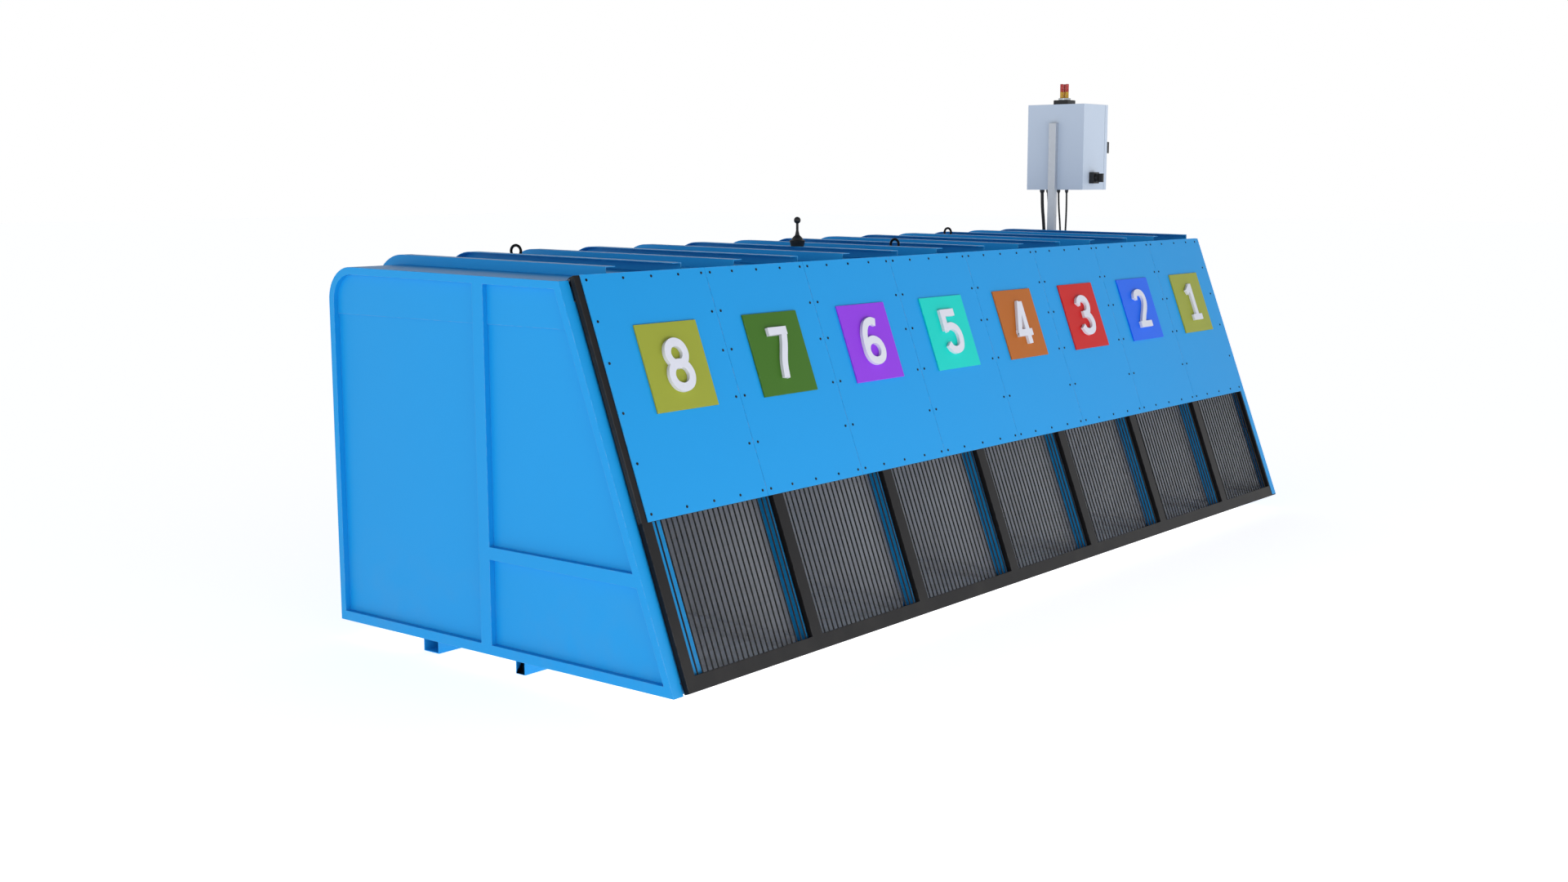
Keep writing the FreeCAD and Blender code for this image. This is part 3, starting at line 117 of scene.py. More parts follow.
def make_paint_skin():
    """Sprayed paint: slight cloudiness, fine orange peel, dust low down and pale rubbed edges."""
    group, given, made = new_group(
        "sprayed_paint_skin",
        [("Position", "NodeSocketVector", (0, 0, 0)), ("Paint", "NodeSocketColor", (0.5, 0.5, 0.5, 1)),
         ("Cloudiness", "NodeSocketFloat", 0.05), ("Dust", "NodeSocketFloat", 0.15),
         ("Rubbed edges", "NodeSocketFloat", 0.3), ("Gloss variation", "NodeSocketFloat", 0.06),
         ("Roughness", "NodeSocketFloat", 0.4)],
        [("Colour", "NodeSocketColor"), ("Roughness", "NodeSocketFloat"), ("Height", "NodeSocketFloat")])
    place = given.outputs["Position"]
    clouds = noise(group, place, 2.2, 4.0)
    tone = maths(group, "MULTIPLY", maths(group, "SUBTRACT", clouds, 0.5), given.outputs["Cloudiness"])
    value = group.nodes.new("ShaderNodeHueSaturation")
    group.links.new(maths(group, "ADD", 1.0, tone), value.inputs["Value"])
    group.links.new(given.outputs["Paint"], value.inputs["Color"])
    # dust gathers near the ground and in patches
    split = group.nodes.new("ShaderNodeSeparateXYZ")
    group.links.new(place, split.inputs["Vector"])
    low = spread(group, split.outputs["Z"], 0.45, 0.05)
    patches = spread(group, noise(group, place, 9.0, 6.0), 0.45, 0.75)
    dust = maths(group, "MULTIPLY", maths(group, "MULTIPLY", low, patches), given.outputs["Dust"])
    dusted = blend_colour(group, dust, value.outputs["Color"], srgb("#8F887C"))
    # edges are a little paler where the paint is thin or rubbed
    geometry = group.nodes.new("ShaderNodeNewGeometry")
    rounded = group.nodes.new("ShaderNodeBevel")
    rounded.samples = 4
    rounded.inputs["Radius"].default_value = 0.0025
    turn = group.nodes.new("ShaderNodeVectorMath")
    turn.operation = "DOT_PRODUCT"
    group.links.new(rounded.outputs["Normal"], turn.inputs[0])
    group.links.new(geometry.outputs["Normal"], turn.inputs[1])
    edge = spread(group, turn.outputs["Value"], 0.985, 0.90)
    broken = spread(group, noise(group, place, 45.0, 3.0), 0.40, 0.62)
    rub = maths(group, "MULTIPLY", maths(group, "MULTIPLY", edge, broken), given.outputs["Rubbed edges"])
    rubbed = blend_colour(group, rub, dusted, srgb("#C9CED3"))
    group.links.new(rubbed, made.inputs["Colour"])
    gloss = maths(group, "MULTIPLY", maths(group, "SUBTRACT", noise(group, place, 14.0, 4.0), 0.5),
                  given.outputs["Gloss variation"])
    rough = maths(group, "ADD", maths(group, "ADD", given.outputs["Roughness"], gloss),
                  maths(group, "MULTIPLY", dust, 0.4))
    group.links.new(rough, made.inputs["Roughness"])
    peel = noise(group, place, 300.0, 1.0)
    group.links.new(peel, made.inputs["Height"])
    return group


def make_metal_skin():
    """Plated or galvanised steel: crystals and patchy gloss."""
    group, given, made = new_group(
        "plated_metal_skin",
        [("Position", "NodeSocketVector", (0, 0, 0)), ("Metal", "NodeSocketColor", (0.6, 0.6, 0.6, 1)),
         ("Crystals", "NodeSocketFloat", 0.2), ("Crystal scale", "NodeSocketFloat", 60.0),
         ("Roughness", "NodeSocketFloat", 0.4)],
        [("Colour", "NodeSocketColor"), ("Roughness", "NodeSocketFloat"), ("Height", "NodeSocketFloat")])
    place = given.outputs["Position"]
    cells = group.nodes.new("ShaderNodeTexVoronoi")
    group.links.new(place, cells.inputs["Vector"])
    group.links.new(given.outputs["Crystal scale"], cells.inputs["Scale"])
    grey = group.nodes.new("ShaderNodeRGBToBW")
    group.links.new(cells.outputs["Color"], grey.inputs["Color"])
    spangle = maths(group, "MULTIPLY", maths(group, "SUBTRACT", grey.outputs["Val"], 0.5),
                    given.outputs["Crystals"])
    value = group.nodes.new("ShaderNodeHueSaturation")
    group.links.new(given.outputs["Metal"], value.inputs["Color"])
    group.links.new(maths(group, "ADD", 1.0, spangle), value.inputs["Value"])
    group.links.new(value.outputs["Color"], made.inputs["Colour"])
    rough = maths(group, "ADD", given.outputs["Roughness"], maths(group, "MULTIPLY", spangle, 0.6))
    group.links.new(rough, made.inputs["Roughness"])
    group.links.new(noise(group, place, 300.0, 3.0), made.inputs["Height"])
    return group


def make_moulded_skin():
    """Moulded plastic or rubber: a fine spark-eroded grain and faint handling marks."""
    group, given, made = new_group(
        "moulded_skin",
        [("Position", "NodeSocketVector", (0, 0, 0)), ("Plastic", "NodeSocketColor", (0.02, 0.02, 0.02, 1)),
         ("Grain scale", "NodeSocketFloat", 900.0), ("Marks", "NodeSocketFloat", 0.3),
         ("Roughness", "NodeSocketFloat", 0.5)],
        [("Colour", "NodeSocketColor"), ("Roughness", "NodeSocketFloat"), ("Height", "NodeSocketFloat")])
    place = given.outputs["Position"]
    marks = maths(group, "MULTIPLY", spread(group, noise(group, place, 25.0, 5.0), 0.5, 0.8),
                  given.outputs["Marks"])
    group.links.new(blend_colour(group, maths(group, "MULTIPLY", marks, 0.12), given.outputs["Plastic"],
                                 srgb("#B9B6AE")), made.inputs["Colour"])
    group.links.new(maths(group, "ADD", given.outputs["Roughness"], maths(group, "MULTIPLY", marks, 0.25)),
                    made.inputs["Roughness"])
    grain = group.nodes.new("ShaderNodeTexNoise")
    group.links.new(place, grain.inputs["Vector"])
    group.links.new(given.outputs["Grain scale"], grain.inputs["Scale"])
    group.links.new(grain.outputs["Fac"], made.inputs["Height"])
    return group


paint_skin = make_paint_skin()
metal_skin = make_metal_skin()
moulded_skin = make_moulded_skin()


RELIEF_DEPTH = 0.00008      # metres of relief that a full bump stands for


def finish_of(name, skin, colour_socket, colour, bump, shader=(), **settings):
    """A material: one skin group set up with its own values, feeding a Principled shader."""
    material = bpy.data.materials.new(name)
    material.use_nodes = True
    tree = material.node_tree
    principled = tree.nodes["Principled BSDF"]
    place = tree.nodes.new("ShaderNodeTexCoord")
    look = tree.nodes.new("ShaderNodeGroup")
    look.node_tree = skin
    tree.links.new(place.outputs["Object"], look.inputs["Position"])
    look.inputs[colour_socket].default_value = srgb(colour)
    for socket, value in settings.items():
        look.inputs[socket.replace("_", " ")].default_value = value
    tree.links.new(look.outputs["Colour"], principled.inputs["Base Color"])
    tree.links.new(look.outputs["Roughness"], principled.inputs["Roughness"])
    relief = tree.nodes.new("ShaderNodeBump")
    relief.inputs["Strength"].default_value = bump
    relief.inputs["Distance"].default_value = RELIEF_DEPTH
    tree.links.new(look.outputs["Height"], relief.inputs["Height"])
    tree.links.new(relief.outputs["Normal"], principled.inputs["Normal"])
    for socket, value in shader:
        principled.inputs[socket].default_value = value
    material.diffuse_color = srgb(colour)
    return material


def paint(name, colour, gloss=0.3, bump=0.06, **settings):
    """A sprayed coat of paint."""
    return finish_of(name, paint_skin, "Paint", colour, bump=bump,
                     shader=(("Specular IOR Level", gloss),), **settings)


def metal(name, colour, metallic=1.0, bump=0.08, **settings):
    """A plated steel surface."""
    return finish_of(name, metal_skin, "Metal", colour, bump=bump, shader=(("Metallic", metallic),),
                     **settings)


def moulded(name, colour, bump=0.15, shader=(), **settings):
    """A moulded plastic or rubber surface."""
    return finish_of(name, moulded_skin, "Plastic", colour, bump=bump, shader=shader, **settings)


finishes = {
    "blue_paint": paint("azure_powder_coat", "#1494DA", Roughness=0.42, Cloudiness=0.03, Dust=0.06,
                        Rubbed_edges=0.22, gloss=0.20, bump=0.05),
    "charcoal_paint": paint("charcoal_powder_coat", "#111012", Roughness=0.40, Cloudiness=0.08, Dust=0.03,
                            Rubbed_edges=0.10, gloss=0.20, bump=0.05),
    "grey_sheet": paint("grey_lining_paint", "#DFE1E6", Roughness=0.55, Cloudiness=0.10, Dust=0.25,
                        Rubbed_edges=0.10),
    "floor_sheet": paint("grey_floor_film", "#F0F1F3", Roughness=0.60, Cloudiness=0.15, Dust=0.35,
                         Rubbed_edges=0.05),
    "black_hardware": paint("black_hardware_coat", "#070708", Roughness=0.38, Cloudiness=0.10, Dust=0.02,
                            Rubbed_edges=0.10, gloss=0.15),
    "control_paint": paint("pale_cabinet_coat", "#C6D3E4", Roughness=0.40, Cloudiness=0.03, Dust=0.0,
                           Rubbed_edges=0.05),
    "number_paint": paint("number_enamel", "#D3D5E0", Roughness=0.38, Cloudiness=0.04, Dust=0.0,
                          Rubbed_edges=0.05, gloss=0.2),
    "zinc_steel": metal("zinc_plate", "#B4B8BC", Roughness=0.32, Crystals=0.10, Crystal_scale=180.0),
    "galvanised": metal("galvanised_tube", "#C0C5CC", Roughness=0.42, Crystals=0.07, Crystal_scale=70.0,
                        metallic=0.6),
    "black_plastic": moulded("black_moulding", "#131416", Roughness=0.45, Marks=0.25),
    "cable_sheath": moulded("cable_sheath", "#18191B", Roughness=0.55, Marks=0.35, Grain_scale=500.0),
    "yellow_lens": moulded("amber_lens", "#D9A827", Roughness=0.16, Marks=0.05,
                           shader=(("Coat Weight", 0.6), ("Subsurface Weight", 0.15)), bump=0.02),
    "red_lens": moulded("red_lens", "#B8322C", Roughness=0.16, Marks=0.05,
                        shader=(("Coat Weight", 0.6), ("Subsurface Weight", 0.15)), bump=0.02),
}
finishes["seal_rubber"] = moulded("seal_rubber", "#08080A", Roughness=0.32, Marks=0.15, Grain_scale=700.0,
                                 shader=(("Specular IOR Level", 0.35),), bump=0.05)
finishes["plate_paint"] = paint("plate_enamel", "#9AA24A", Roughness=0.40)
slot_of = {part["node"]: part["material_slot"] for part in frame["record"]["subparts"]}


# ---------------------------------------------------------------------------------------
# CAD nodes: material, welded seams and softened edges
# ---------------------------------------------------------------------------------------
SHARP_ANGLE = math.radians(32)      # edges that turn by more than this are softened


def soften(obj, width, segments=2):
    """Rounds an object's sharp edges a little, after closing the seams between its faces."""
    weld = obj.modifiers.new("closed seams", "WELD")
    weld.merge_threshold = 0.00001
    flat = obj.modifiers.new("whole flats", "DECIMATE")
    flat.decimate_type = "DISSOLVE"
    flat.angle_limit = math.radians(0.4)
    bevel = obj.modifiers.new("softened edges", "BEVEL")
    bevel.width = width
    bevel.segments = segments
    bevel.limit_method = "ANGLE"
    bevel.angle_limit = SHARP_ANGLE
    normals = obj.modifiers.new("flat faces stay flat", "WEIGHTED_NORMAL")
    normals.weight = 100
    normals.keep_sharp = True


# radius of the softened edges in metres, where it isn't the small one
EDGE = {
    "gate_frame": 0.0045, "gate_panels": 0.0006, "plate_numbers": 0.0014, "control_box": 0.004,
    "control_door": 0.004, "mast": 0.0025, "front_skid": 0.004, "rear_skid": 0.004, "light_base": 0.003,
    "control_lock": 0.003, "switch_knob": 0.003, "switch_base": 0.003, "left_end_frame": 0.0018,
    "right_end_frame": 0.0018, "roof_ribs": 0.0011, "roof_panel": 0.0008, "lifting_eyes": 0.0008,
    "divider_frames": 0.002, "roof_headers": 0.002, "floor_sills": 0.002, "light_foot": 0.0015,
}


REAR_DOOR_EDGE = 0.0012
SMALL_EDGE = 0.0006
ROUND_ALREADY = ("gate_bars", "panel_screws", "number_plates", "antenna", "main_cable", "small_cables")


def make_smooth_shading():
    """A modifier group that shades a whole mesh smooth and leaves the mesh itself alone."""
    group = bpy.data.node_groups.new("smooth_shading", "GeometryNodeTree")
    for side in ("INPUT", "OUTPUT"):
        group.interface.new_socket(name="Geometry", in_out=side, socket_type="NodeSocketGeometry")
    given = group.nodes.new("NodeGroupInput")
    shade = group.nodes.new("GeometryNodeSetShadeSmooth")
    made = group.nodes.new("NodeGroupOutput")
    group.links.new(given.outputs[0], shade.inputs["Geometry"])
    group.links.new(shade.outputs["Geometry"], made.inputs[0])
    return group


def dress_cad_nodes():
    """Gives each CAD node its finish, smooth shading and, unless it is round already, softened edges."""
    smooth_shading = make_smooth_shading()
    for name, obj in nodes.items():
        obj.material_slots[0].material = finishes[slot_of[name]]
        obj.modifiers.new("smooth shading", "NODES").node_group = smooth_shading
        if name not in ROUND_ALREADY:
            usual = REAR_DOOR_EDGE if name.startswith("rear_door") else SMALL_EDGE
            soften(obj, EDGE.get(name, usual))


# ---------------------------------------------------------------------------------------
# Mesh helpers
# ---------------------------------------------------------------------------------------
def islands(node):
    """The separate solids of a CAD node, as welded bmeshes."""
    whole = bmesh.new()
    whole.from_mesh(nodes[node].data)
    bmesh.ops.remove_doubles(whole, verts=whole.verts, dist=0.00001)
    seen = set()
    found = []
    whole.verts.ensure_lookup_table()
    for start in whole.verts:
        if start.index in seen:
            continue
        seen.add(start.index)
        stack, group = [start], []
        while stack:
            vert = stack.pop()
            group.append(vert)
            for edge in vert.link_edges:
                other = edge.other_vert(vert)
                if other.index not in seen:
                    seen.add(other.index)
                    stack.append(other)
        piece = bmesh.new()
        new = {v.index: piece.verts.new(v.co) for v in group}
        for face in {f for v in group for f in v.link_faces}:
            piece.faces.new([new[v.index] for v in face.verts])
        found.append(piece)
    whole.free()
    return found


def centre_of(piece):
    """The middle of a bmesh's box."""
    low = Vector(min(v.co[i] for v in piece.verts) for i in range(3))
    high = Vector(max(v.co[i] for v in piece.verts) for i in range(3))
    return (low + high) / 2


def reach(verts, direction):
    """How far vertices reach along a direction: the least and the most."""
    along = [v.co.dot(direction) for v in verts]
    return min(along), max(along)


def add_piece(name, mesh_builder, finish, body, smooth=True):
    """Makes an object of a bmesh, gives it a finish and lets it ride on a body."""
    mesh = bpy.data.meshes.new(name)
    mesh_builder.to_mesh(mesh)
    mesh_builder.free()
    obj = bpy.data.objects.new(name, mesh)
    bpy.context.scene.collection.objects.link(obj)
    mesh.materials.append(finish)
    if smooth:
        mesh.polygons.foreach_set("use_smooth", [True] * len(mesh.polygons))
    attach(obj, body)
    return obj


def lathe(build, profile, at, axis, steps):
    """Adds a turned shape: profile points (radius, distance along axis) from at."""
    axis = axis.normalized()
    side = axis.orthogonal().normalized()
    other = axis.cross(side)
    rings = []
    for radius, along in profile:
        centre = at + axis * along
        if radius < 1e-7:
            rings.append([build.verts.new(centre)])
            continue
        ring = []
        for k in range(steps):
            turn = 2 * math.pi * k / steps
            ring.append(build.verts.new(centre + (side * math.cos(turn) + other * math.sin(turn)) * radius))
        rings.append(ring)
    for low, high in zip(rings, rings[1:]):
        for k in range(steps):
            a, b = low[k % len(low)], low[(k + 1) % len(low)]
            c, d = high[(k + 1) % len(high)], high[k % len(high)]
            corners = []
            for vert in (a, b, c, d):
                if vert not in corners:
                    corners.append(vert)
            if len(corners) > 2:
                build.faces.new(corners)


# ---------------------------------------------------------------------------------------
# Number plates, one colour per trap, with rolled edges
# ---------------------------------------------------------------------------------------
PLATE_COLOURS = ["#949C36", "#3C6A1C", "#8B38D8", "#00CABE", "#AE601C", "#C01414", "#1062E6", "#949C36"]


def make_number_plates():
    """The eight plates, numbered from the right."""
    solids = sorted(islands("number_plates"), key=lambda piece: centre_of(piece).x)
    for index, solid in enumerate(solids):
        number = len(solids) - index
        coat = paint("plate_enamel_%d" % number, PLATE_COLOURS[index], Roughness=0.36, Cloudiness=0.05,
                     Dust=0.0, Rubbed_edges=0.20, gloss=0.18)
        plate = add_piece("number_plate_%d" % number, solid, coat, "gate")
        soften(plate, 0.0012, 3)
        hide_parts("number_plates")


# ---------------------------------------------------------------------------------------
# Raised numbers, each cut from strokes of one width: points in millimetres from the middle
# ---------------------------------------------------------------------------------------
UPPER_LOOP = [(0, 71), (27, 61), (38, 36), (27, 11), (0, 1), (-27, 11), (-38, 36), (-27, 61)]
LOWER_LOOP = [(0, 5), (31, -6), (43, -33), (31, -60), (0, -71), (-31, -60), (-43, -33), (-31, -6)]
STROKES = {
    1: [[(4, 85), (4, -71)], [(8, 76), (-36, 46)], [(-38, -71), (46, -71)]],
    2: [[(-39, 42), (-28, 64), (0, 71), (29, 62), (39, 38), (29, 8), (-4, -34), (-34, -72)],
        [(-50, -71), (48, -71)]],
    3: [[(-38, 47), (-25, 65), (0, 71), (27, 62), (37, 39), (25, 14), (0, 4), (-14, 4)],
        [(-14, 4), (4, 4), (31, -7), (43, -33), (31, -60), (0, -71), (-28, -64), (-42, -44)]],
    4: [[(18, 85), (18, -85)], [(12, 84), (-42, -44)], [(-52, -40), (50, -40)]],
    5: [[(-38, 71), (40, 71)], [(-34, 84), (-36, 4)],
        [(-38, 10), (-20, 18), (4, 20), (33, 6), (43, -24), (32, -58), (2, -71), (-27, -64), (-42, -45)]],
    6: [LOWER_LOOP + [LOWER_LOOP[0]],
        [(40, 64), (16, 71), (-14, 62), (-34, 34), (-42, 0), (-43, -33)]],
    7: [[(-46, 71), (48, 71)], [(36, 78), (20, 26), (-4, -32), (-14, -85)]],
    8: [UPPER_LOOP + [UPPER_LOOP[0]], LOWER_LOOP + [LOWER_LOOP[0]]],
}
STROKE_HALF = 13.5          # half a stroke's width in millimetres
STROKE_STEP = 0.0002        # every other stroke is this much lower, so that no two tops lie in one plane


def smooth_line(points, steps=7):
    """Points on a smooth curve through the given ones, closed where the first comes again."""
    if len(points) == 2:
        return [Vector(p) for p in points]
    closed = points[0] == points[-1]
    knots = [Vector(p) for p in points]
    line = []
    for i in range(len(knots) - 1):
        before = knots[i - 1] if i else (knots[-2] if closed else knots[0] * 2 - knots[1])
        after = knots[i + 2] if i + 2 < len(knots) else (knots[1] if closed else knots[-1] * 2 - knots[-2])
        a, b = knots[i], knots[i + 1]
        for k in range(steps):
            u = k / steps
            line.append(0.5 * ((2 * a) + (b - before) * u + (2 * before - 5 * a + 4 * b - after) * u * u
                               + (3 * a - before - 3 * b + after) * u ** 3))
    if not closed:
        line.append(knots[-1])
    return line


def stroke_solid(points, thick):
    """A flat bar of even width that follows a line, standing from 0 to thick."""
    line = smooth_line(points)
    closed = points[0] == points[-1]
    count = len(line)
    build = bmesh.new()
    rows = []
    for i, point in enumerate(line):
        ahead = line[(i + 1) % count] if closed else line[min(i + 1, count - 1)]
        behind = line[i - 1] if closed or i else line[0]
        along = (ahead - behind).normalized()
        side = Vector((-along.y, along.x)) * STROKE_HALF
        row = []
        for edge in (point + side, point - side):
            for z in (0.0, thick):
                row.append(build.verts.new((edge.x / 1000, edge.y / 1000, z)))
        rows.append(row)
    spans = list(zip(rows, rows[1:] + rows[:1])) if closed else list(zip(rows, rows[1:]))
    for a, b in spans:
        for k, m in ((0, 1), (1, 3), (3, 2), (2, 0)):
            build.faces.new([a[k], a[m], b[m], b[k]])
    if not closed:
        for row in (rows[0], rows[-1]):
            build.faces.new([row[0], row[1], row[3], row[2]])
    bmesh.ops.recalc_face_normals(build, faces=build.faces)
    mesh = bpy.data.meshes.new("stroke")
    build.to_mesh(mesh)
    build.free()
    solid = bpy.data.objects.new("stroke", mesh)
    bpy.context.scene.collection.objects.link(solid)
    return solid


def joined_strokes(number, thick):
    """The strokes of a number joined into one solid, as a bmesh."""
    solids = [stroke_solid(points, thick - STROKE_STEP * (k % 2)) for k, points in enumerate(STROKES[number])]
    for extra in solids[1:]:
        join = solids[0].modifiers.new("join", "BOOLEAN")
        join.operation = "UNION"
        join.solver = "EXACT"
        join.object = extra
    bpy.context.view_layer.update()
    whole = bpy.data.meshes.new_from_object(solids[0].evaluated_get(bpy.context.evaluated_depsgraph_get()))
    build = bmesh.new()
    build.from_mesh(whole)
    bmesh.ops.remove_doubles(build, verts=build.verts, dist=0.00005)
    for solid in solids:
        bpy.data.objects.remove(solid)
    bpy.data.meshes.remove(whole)
    return build


def make_plate_numbers():
    """A raised number in the middle of each plate, as high as the CAD number it stands for."""
    plates = sorted(islands("number_plates"), key=lambda piece: centre_of(piece).x)
    tops = reach(nodes["plate_numbers"].data.vertices, OUT)[1]
    seat_gap = 0.0001
    for index, plate in enumerate(plates):
        number = len(plates) - index
        face = reach(plate.verts, OUT)[1]
        middle = centre_of(plate)
        seat = middle + OUT * (face + seat_gap - middle.dot(OUT))
        plate.free()
        build = joined_strokes(number, tops - face - 2 * seat_gap)
        turn = Matrix((Vector((1, 0, 0)), UP, OUT)).transposed().to_4x4()
        build.transform(Matrix.Translation(seat) @ turn)
        digit = add_piece("raised_number_%d" % number, build, finishes["number_paint"], "gate")
        soften(digit, 0.0016, 3)
        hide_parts("plate_numbers")


# ---------------------------------------------------------------------------------------
# Ribbed seal down the gate's left edge and blue flashing down its right edge
# ---------------------------------------------------------------------------------------
def make_edge_seal():
    """A black rubber strip with three ribs on the gate's left side face, as high as the panels."""
    back, front = reach(nodes["gate_frame"].data.vertices, OUT)
    back += 0.003
    low, high = reach(nodes["gate_panels"].data.vertices, UP)
    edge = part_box("gate_frame")[0].x
    ribs = 3
    wide = front - back
    line = [(0.0, 0.0)]
    for k in range(ribs):
        for share, lift in ((0.10, 0.0006), (0.25, 0.0013), (0.65, 0.0013), (0.85, 0.0006)):
            line.append((wide * (k + share) / ribs, lift))
    line.append((wide, 0.0))
    build = bmesh.new()
    ends = [[build.verts.new(OUT * (back + v) + UP * s + Vector((edge - (0.0001 + lift), 0, 0)))
             for v, lift in line]
            for s in (low + 0.001, high - 0.001)]
    for k in range(len(line) - 1):
        build.faces.new([ends[0][k], ends[0][k + 1], ends[1][k + 1], ends[1][k]])
    build.faces.new([ends[0][0], ends[1][0], ends[1][-1], ends[0][-1]])
    build.faces.new(ends[0])
    build.faces.new(ends[1])
    bmesh.ops.recalc_face_normals(build, faces=build.faces)
    seal = add_piece("left_edge_seal", build, finishes["seal_rubber"], "gate", smooth=False)


def make_edge_flashing():
    """A blue folded strip over the gate's right edge, stepped back where it passes the panels."""
    frame_verts = nodes["gate_frame"].data.vertices
    front = reach(frame_verts, OUT)[1]
    low, high = reach(frame_verts, UP)
    panel_low = reach(nodes["gate_panels"].data.vertices, UP)[0]
    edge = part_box("gate_frame")[1].x
    panel_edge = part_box("gate_panels")[1].x
    gap = 0.0002
    sheet = 0.0010
    wrap = 0.016                # folded back over the gate's side face
    lap = 0.034                 # over the gate's front, below the panels
    step = panel_low - 0.0005
    build = bmesh.new()
    for s0, s1, inner in ((low + 0.0045, step, edge - lap), (step, high - 0.001, panel_edge + 0.0008)):
        fold = [(inner, gap), (edge + gap, gap), (edge + gap, -wrap), (edge + gap + sheet, -wrap),
                (edge + gap + sheet, gap + sheet), (inner, gap + sheet)]
        ends = [[build.verts.new(Vector((x, 0, 0)) + OUT * (front + v) + UP * s) for x, v in fold]
                for s in (s0, s1)]
        for k in range(len(fold)):
            after = (k + 1) % len(fold)
            build.faces.new([ends[0][k], ends[0][after], ends[1][after], ends[1][k]])
        for corners in ((0, 1, 4, 5), (1, 2, 3, 4)):
            for end in ends:
                build.faces.new([end[k] for k in corners])
    bmesh.ops.recalc_face_normals(build, faces=build.faces)
    flashing = add_piece("right_edge_flashing", build, finishes["blue_paint"], "gate", smooth=False)


# ---------------------------------------------------------------------------------------
# Ringed lenses of the signal lights
# ---------------------------------------------------------------------------------------
def make_light_lenses():
    """Each light as a turned lens with six moulded rings."""
    rings = 6
    foot = 0.0012               # plain height below the rings
    plain = 0.0040              # all of the height that carries no ring
    for node, finish in (("yellow_lights", "yellow_lens"), ("red_lights", "red_lens")):
        build = bmesh.new()
        for solid in islands(node):
            low = min(v.co.z for v in solid.verts)
            high = max(v.co.z for v in solid.verts)
            wide = max(v.co.x for v in solid.verts) - min(v.co.x for v in solid.verts)
            middle = centre_of(solid)
            radius = wide / 2
            waist = radius * 0.94
            tall = high - low
            profile = [(0.0, 0.0), (radius * 0.96, 0.0), (radius, 0.0006)]
            for k in range(rings):
                start = foot + (tall - plain) * k / rings
                end = foot + (tall - plain) * (k + 1) / rings
                profile += [(radius, start), (radius, end - 0.0012), (waist, end - 0.0008),
                            (waist, end - 0.0003)]
            profile += [(radius, tall - 0.0024), (radius * 0.98, tall - 0.0010),
                        (radius * 0.8, tall - 0.0001), (0.0, tall)]
            lathe(build, profile, Vector((middle.x, middle.y, low)), Vector((0, 0, 1)), 24)
            solid.free()
        bmesh.ops.recalc_face_normals(build, faces=build.faces)
        lenses = add_piece(node.replace("lights", "lenses"), build, finishes[finish], "box")
        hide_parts(node)


# ---------------------------------------------------------------------------------------
# Button-head screws on the gate panels
# ---------------------------------------------------------------------------------------
def make_panel_screws():
    """Screws with a round shank and a button head that has a recess for the key."""
    build = bmesh.new()
    head = 0.001                # how far the CAD screw's head stands out
    for solid in islands("panel_screws"):
        low, high = reach(solid.verts, OUT)
        middle = centre_of(solid)
        seat = middle + OUT * (high - head - middle.dot(OUT))
        tip = middle + OUT * (low - middle.dot(OUT))
        shank = high - head - low
        lathe(build, [(0.0, 0.0), (0.0024, 0.0), (0.0024, shank)], tip, OUT, 12)
        lathe(build, [(0.0, 0.0), (0.0045, 0.0), (0.0045, 0.0004), (0.0041, 0.0013), (0.0032, 0.0019),
                      (0.0021, 0.0021), (0.0019, 0.0020), (0.0018, 0.0010), (0.0, 0.0009)], seat, OUT, 12)
        solid.free()
    screws = add_piece("panel_button_screws", build, finishes["black_hardware"], "gate")
    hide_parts("panel_screws")


# ---------------------------------------------------------------------------------------
# Grey linings inside the bays: on both end walls and over the foot rail of each divider
# ---------------------------------------------------------------------------------------
RAIL_HALF = 0.025           # half the width of a divider's foot rail
RAIL_HEIGHT = 0.030
LINING = 0.0009             # thickness of a folded lining strip
LINING_GAP = 0.0002         # air between a strip and the steel under it
SOLE_GAP = 0.0004           # linings end this far above the rail's underside
FOOT_BAND = 0.0005          # vertices this close to a sheet's lowest one belong to its foot


def folded_strip(build, outline, y0, y1):
    """A strip with a cross-section outline in (x, z), from y0 to y1."""
    near = [build.verts.new((x, y0, z)) for x, z in outline]
    far = [build.verts.new((x, y1, z)) for x, z in outline]
    build.faces.new(near)
    build.faces.new(list(reversed(far)))
    for k in range(len(outline)):
        after = (k + 1) % len(outline)
        build.faces.new([near[k], far[k], far[after], near[after]])


def make_end_linings():
    """A grey lining sheet inside each end wall, with the outline of the dividers."""
    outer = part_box("roof_panel")
    for side, name in ((0, "left_wall_lining"), (1, "right_wall_lining")):
        sheets = islands("divider_sheets")
        build = sheets[0]
        for spare in sheets[1:]:
            spare.free()
        low = min(v.co.z for v in build.verts)
        middle = centre_of(build).x
        for v in build.verts:
            if v.co.z < low + FOOT_BAND:
                v.co.z -= RAIL_HEIGHT - SOLE_GAP
                if v.co.y < 0:
                    v.co.y -= RAIL_HEIGHT * math.tan(SLOPE)
            inward = 0.0003 if (v.co.x < middle) == (side == 0) else 0.0012
            v.co.x = outer[side].x + (inward if side == 0 else -inward)
        bmesh.ops.recalc_face_normals(build, faces=build.faces)
        lining = add_piece(name, build, finishes["grey_sheet"], "box", smooth=False)


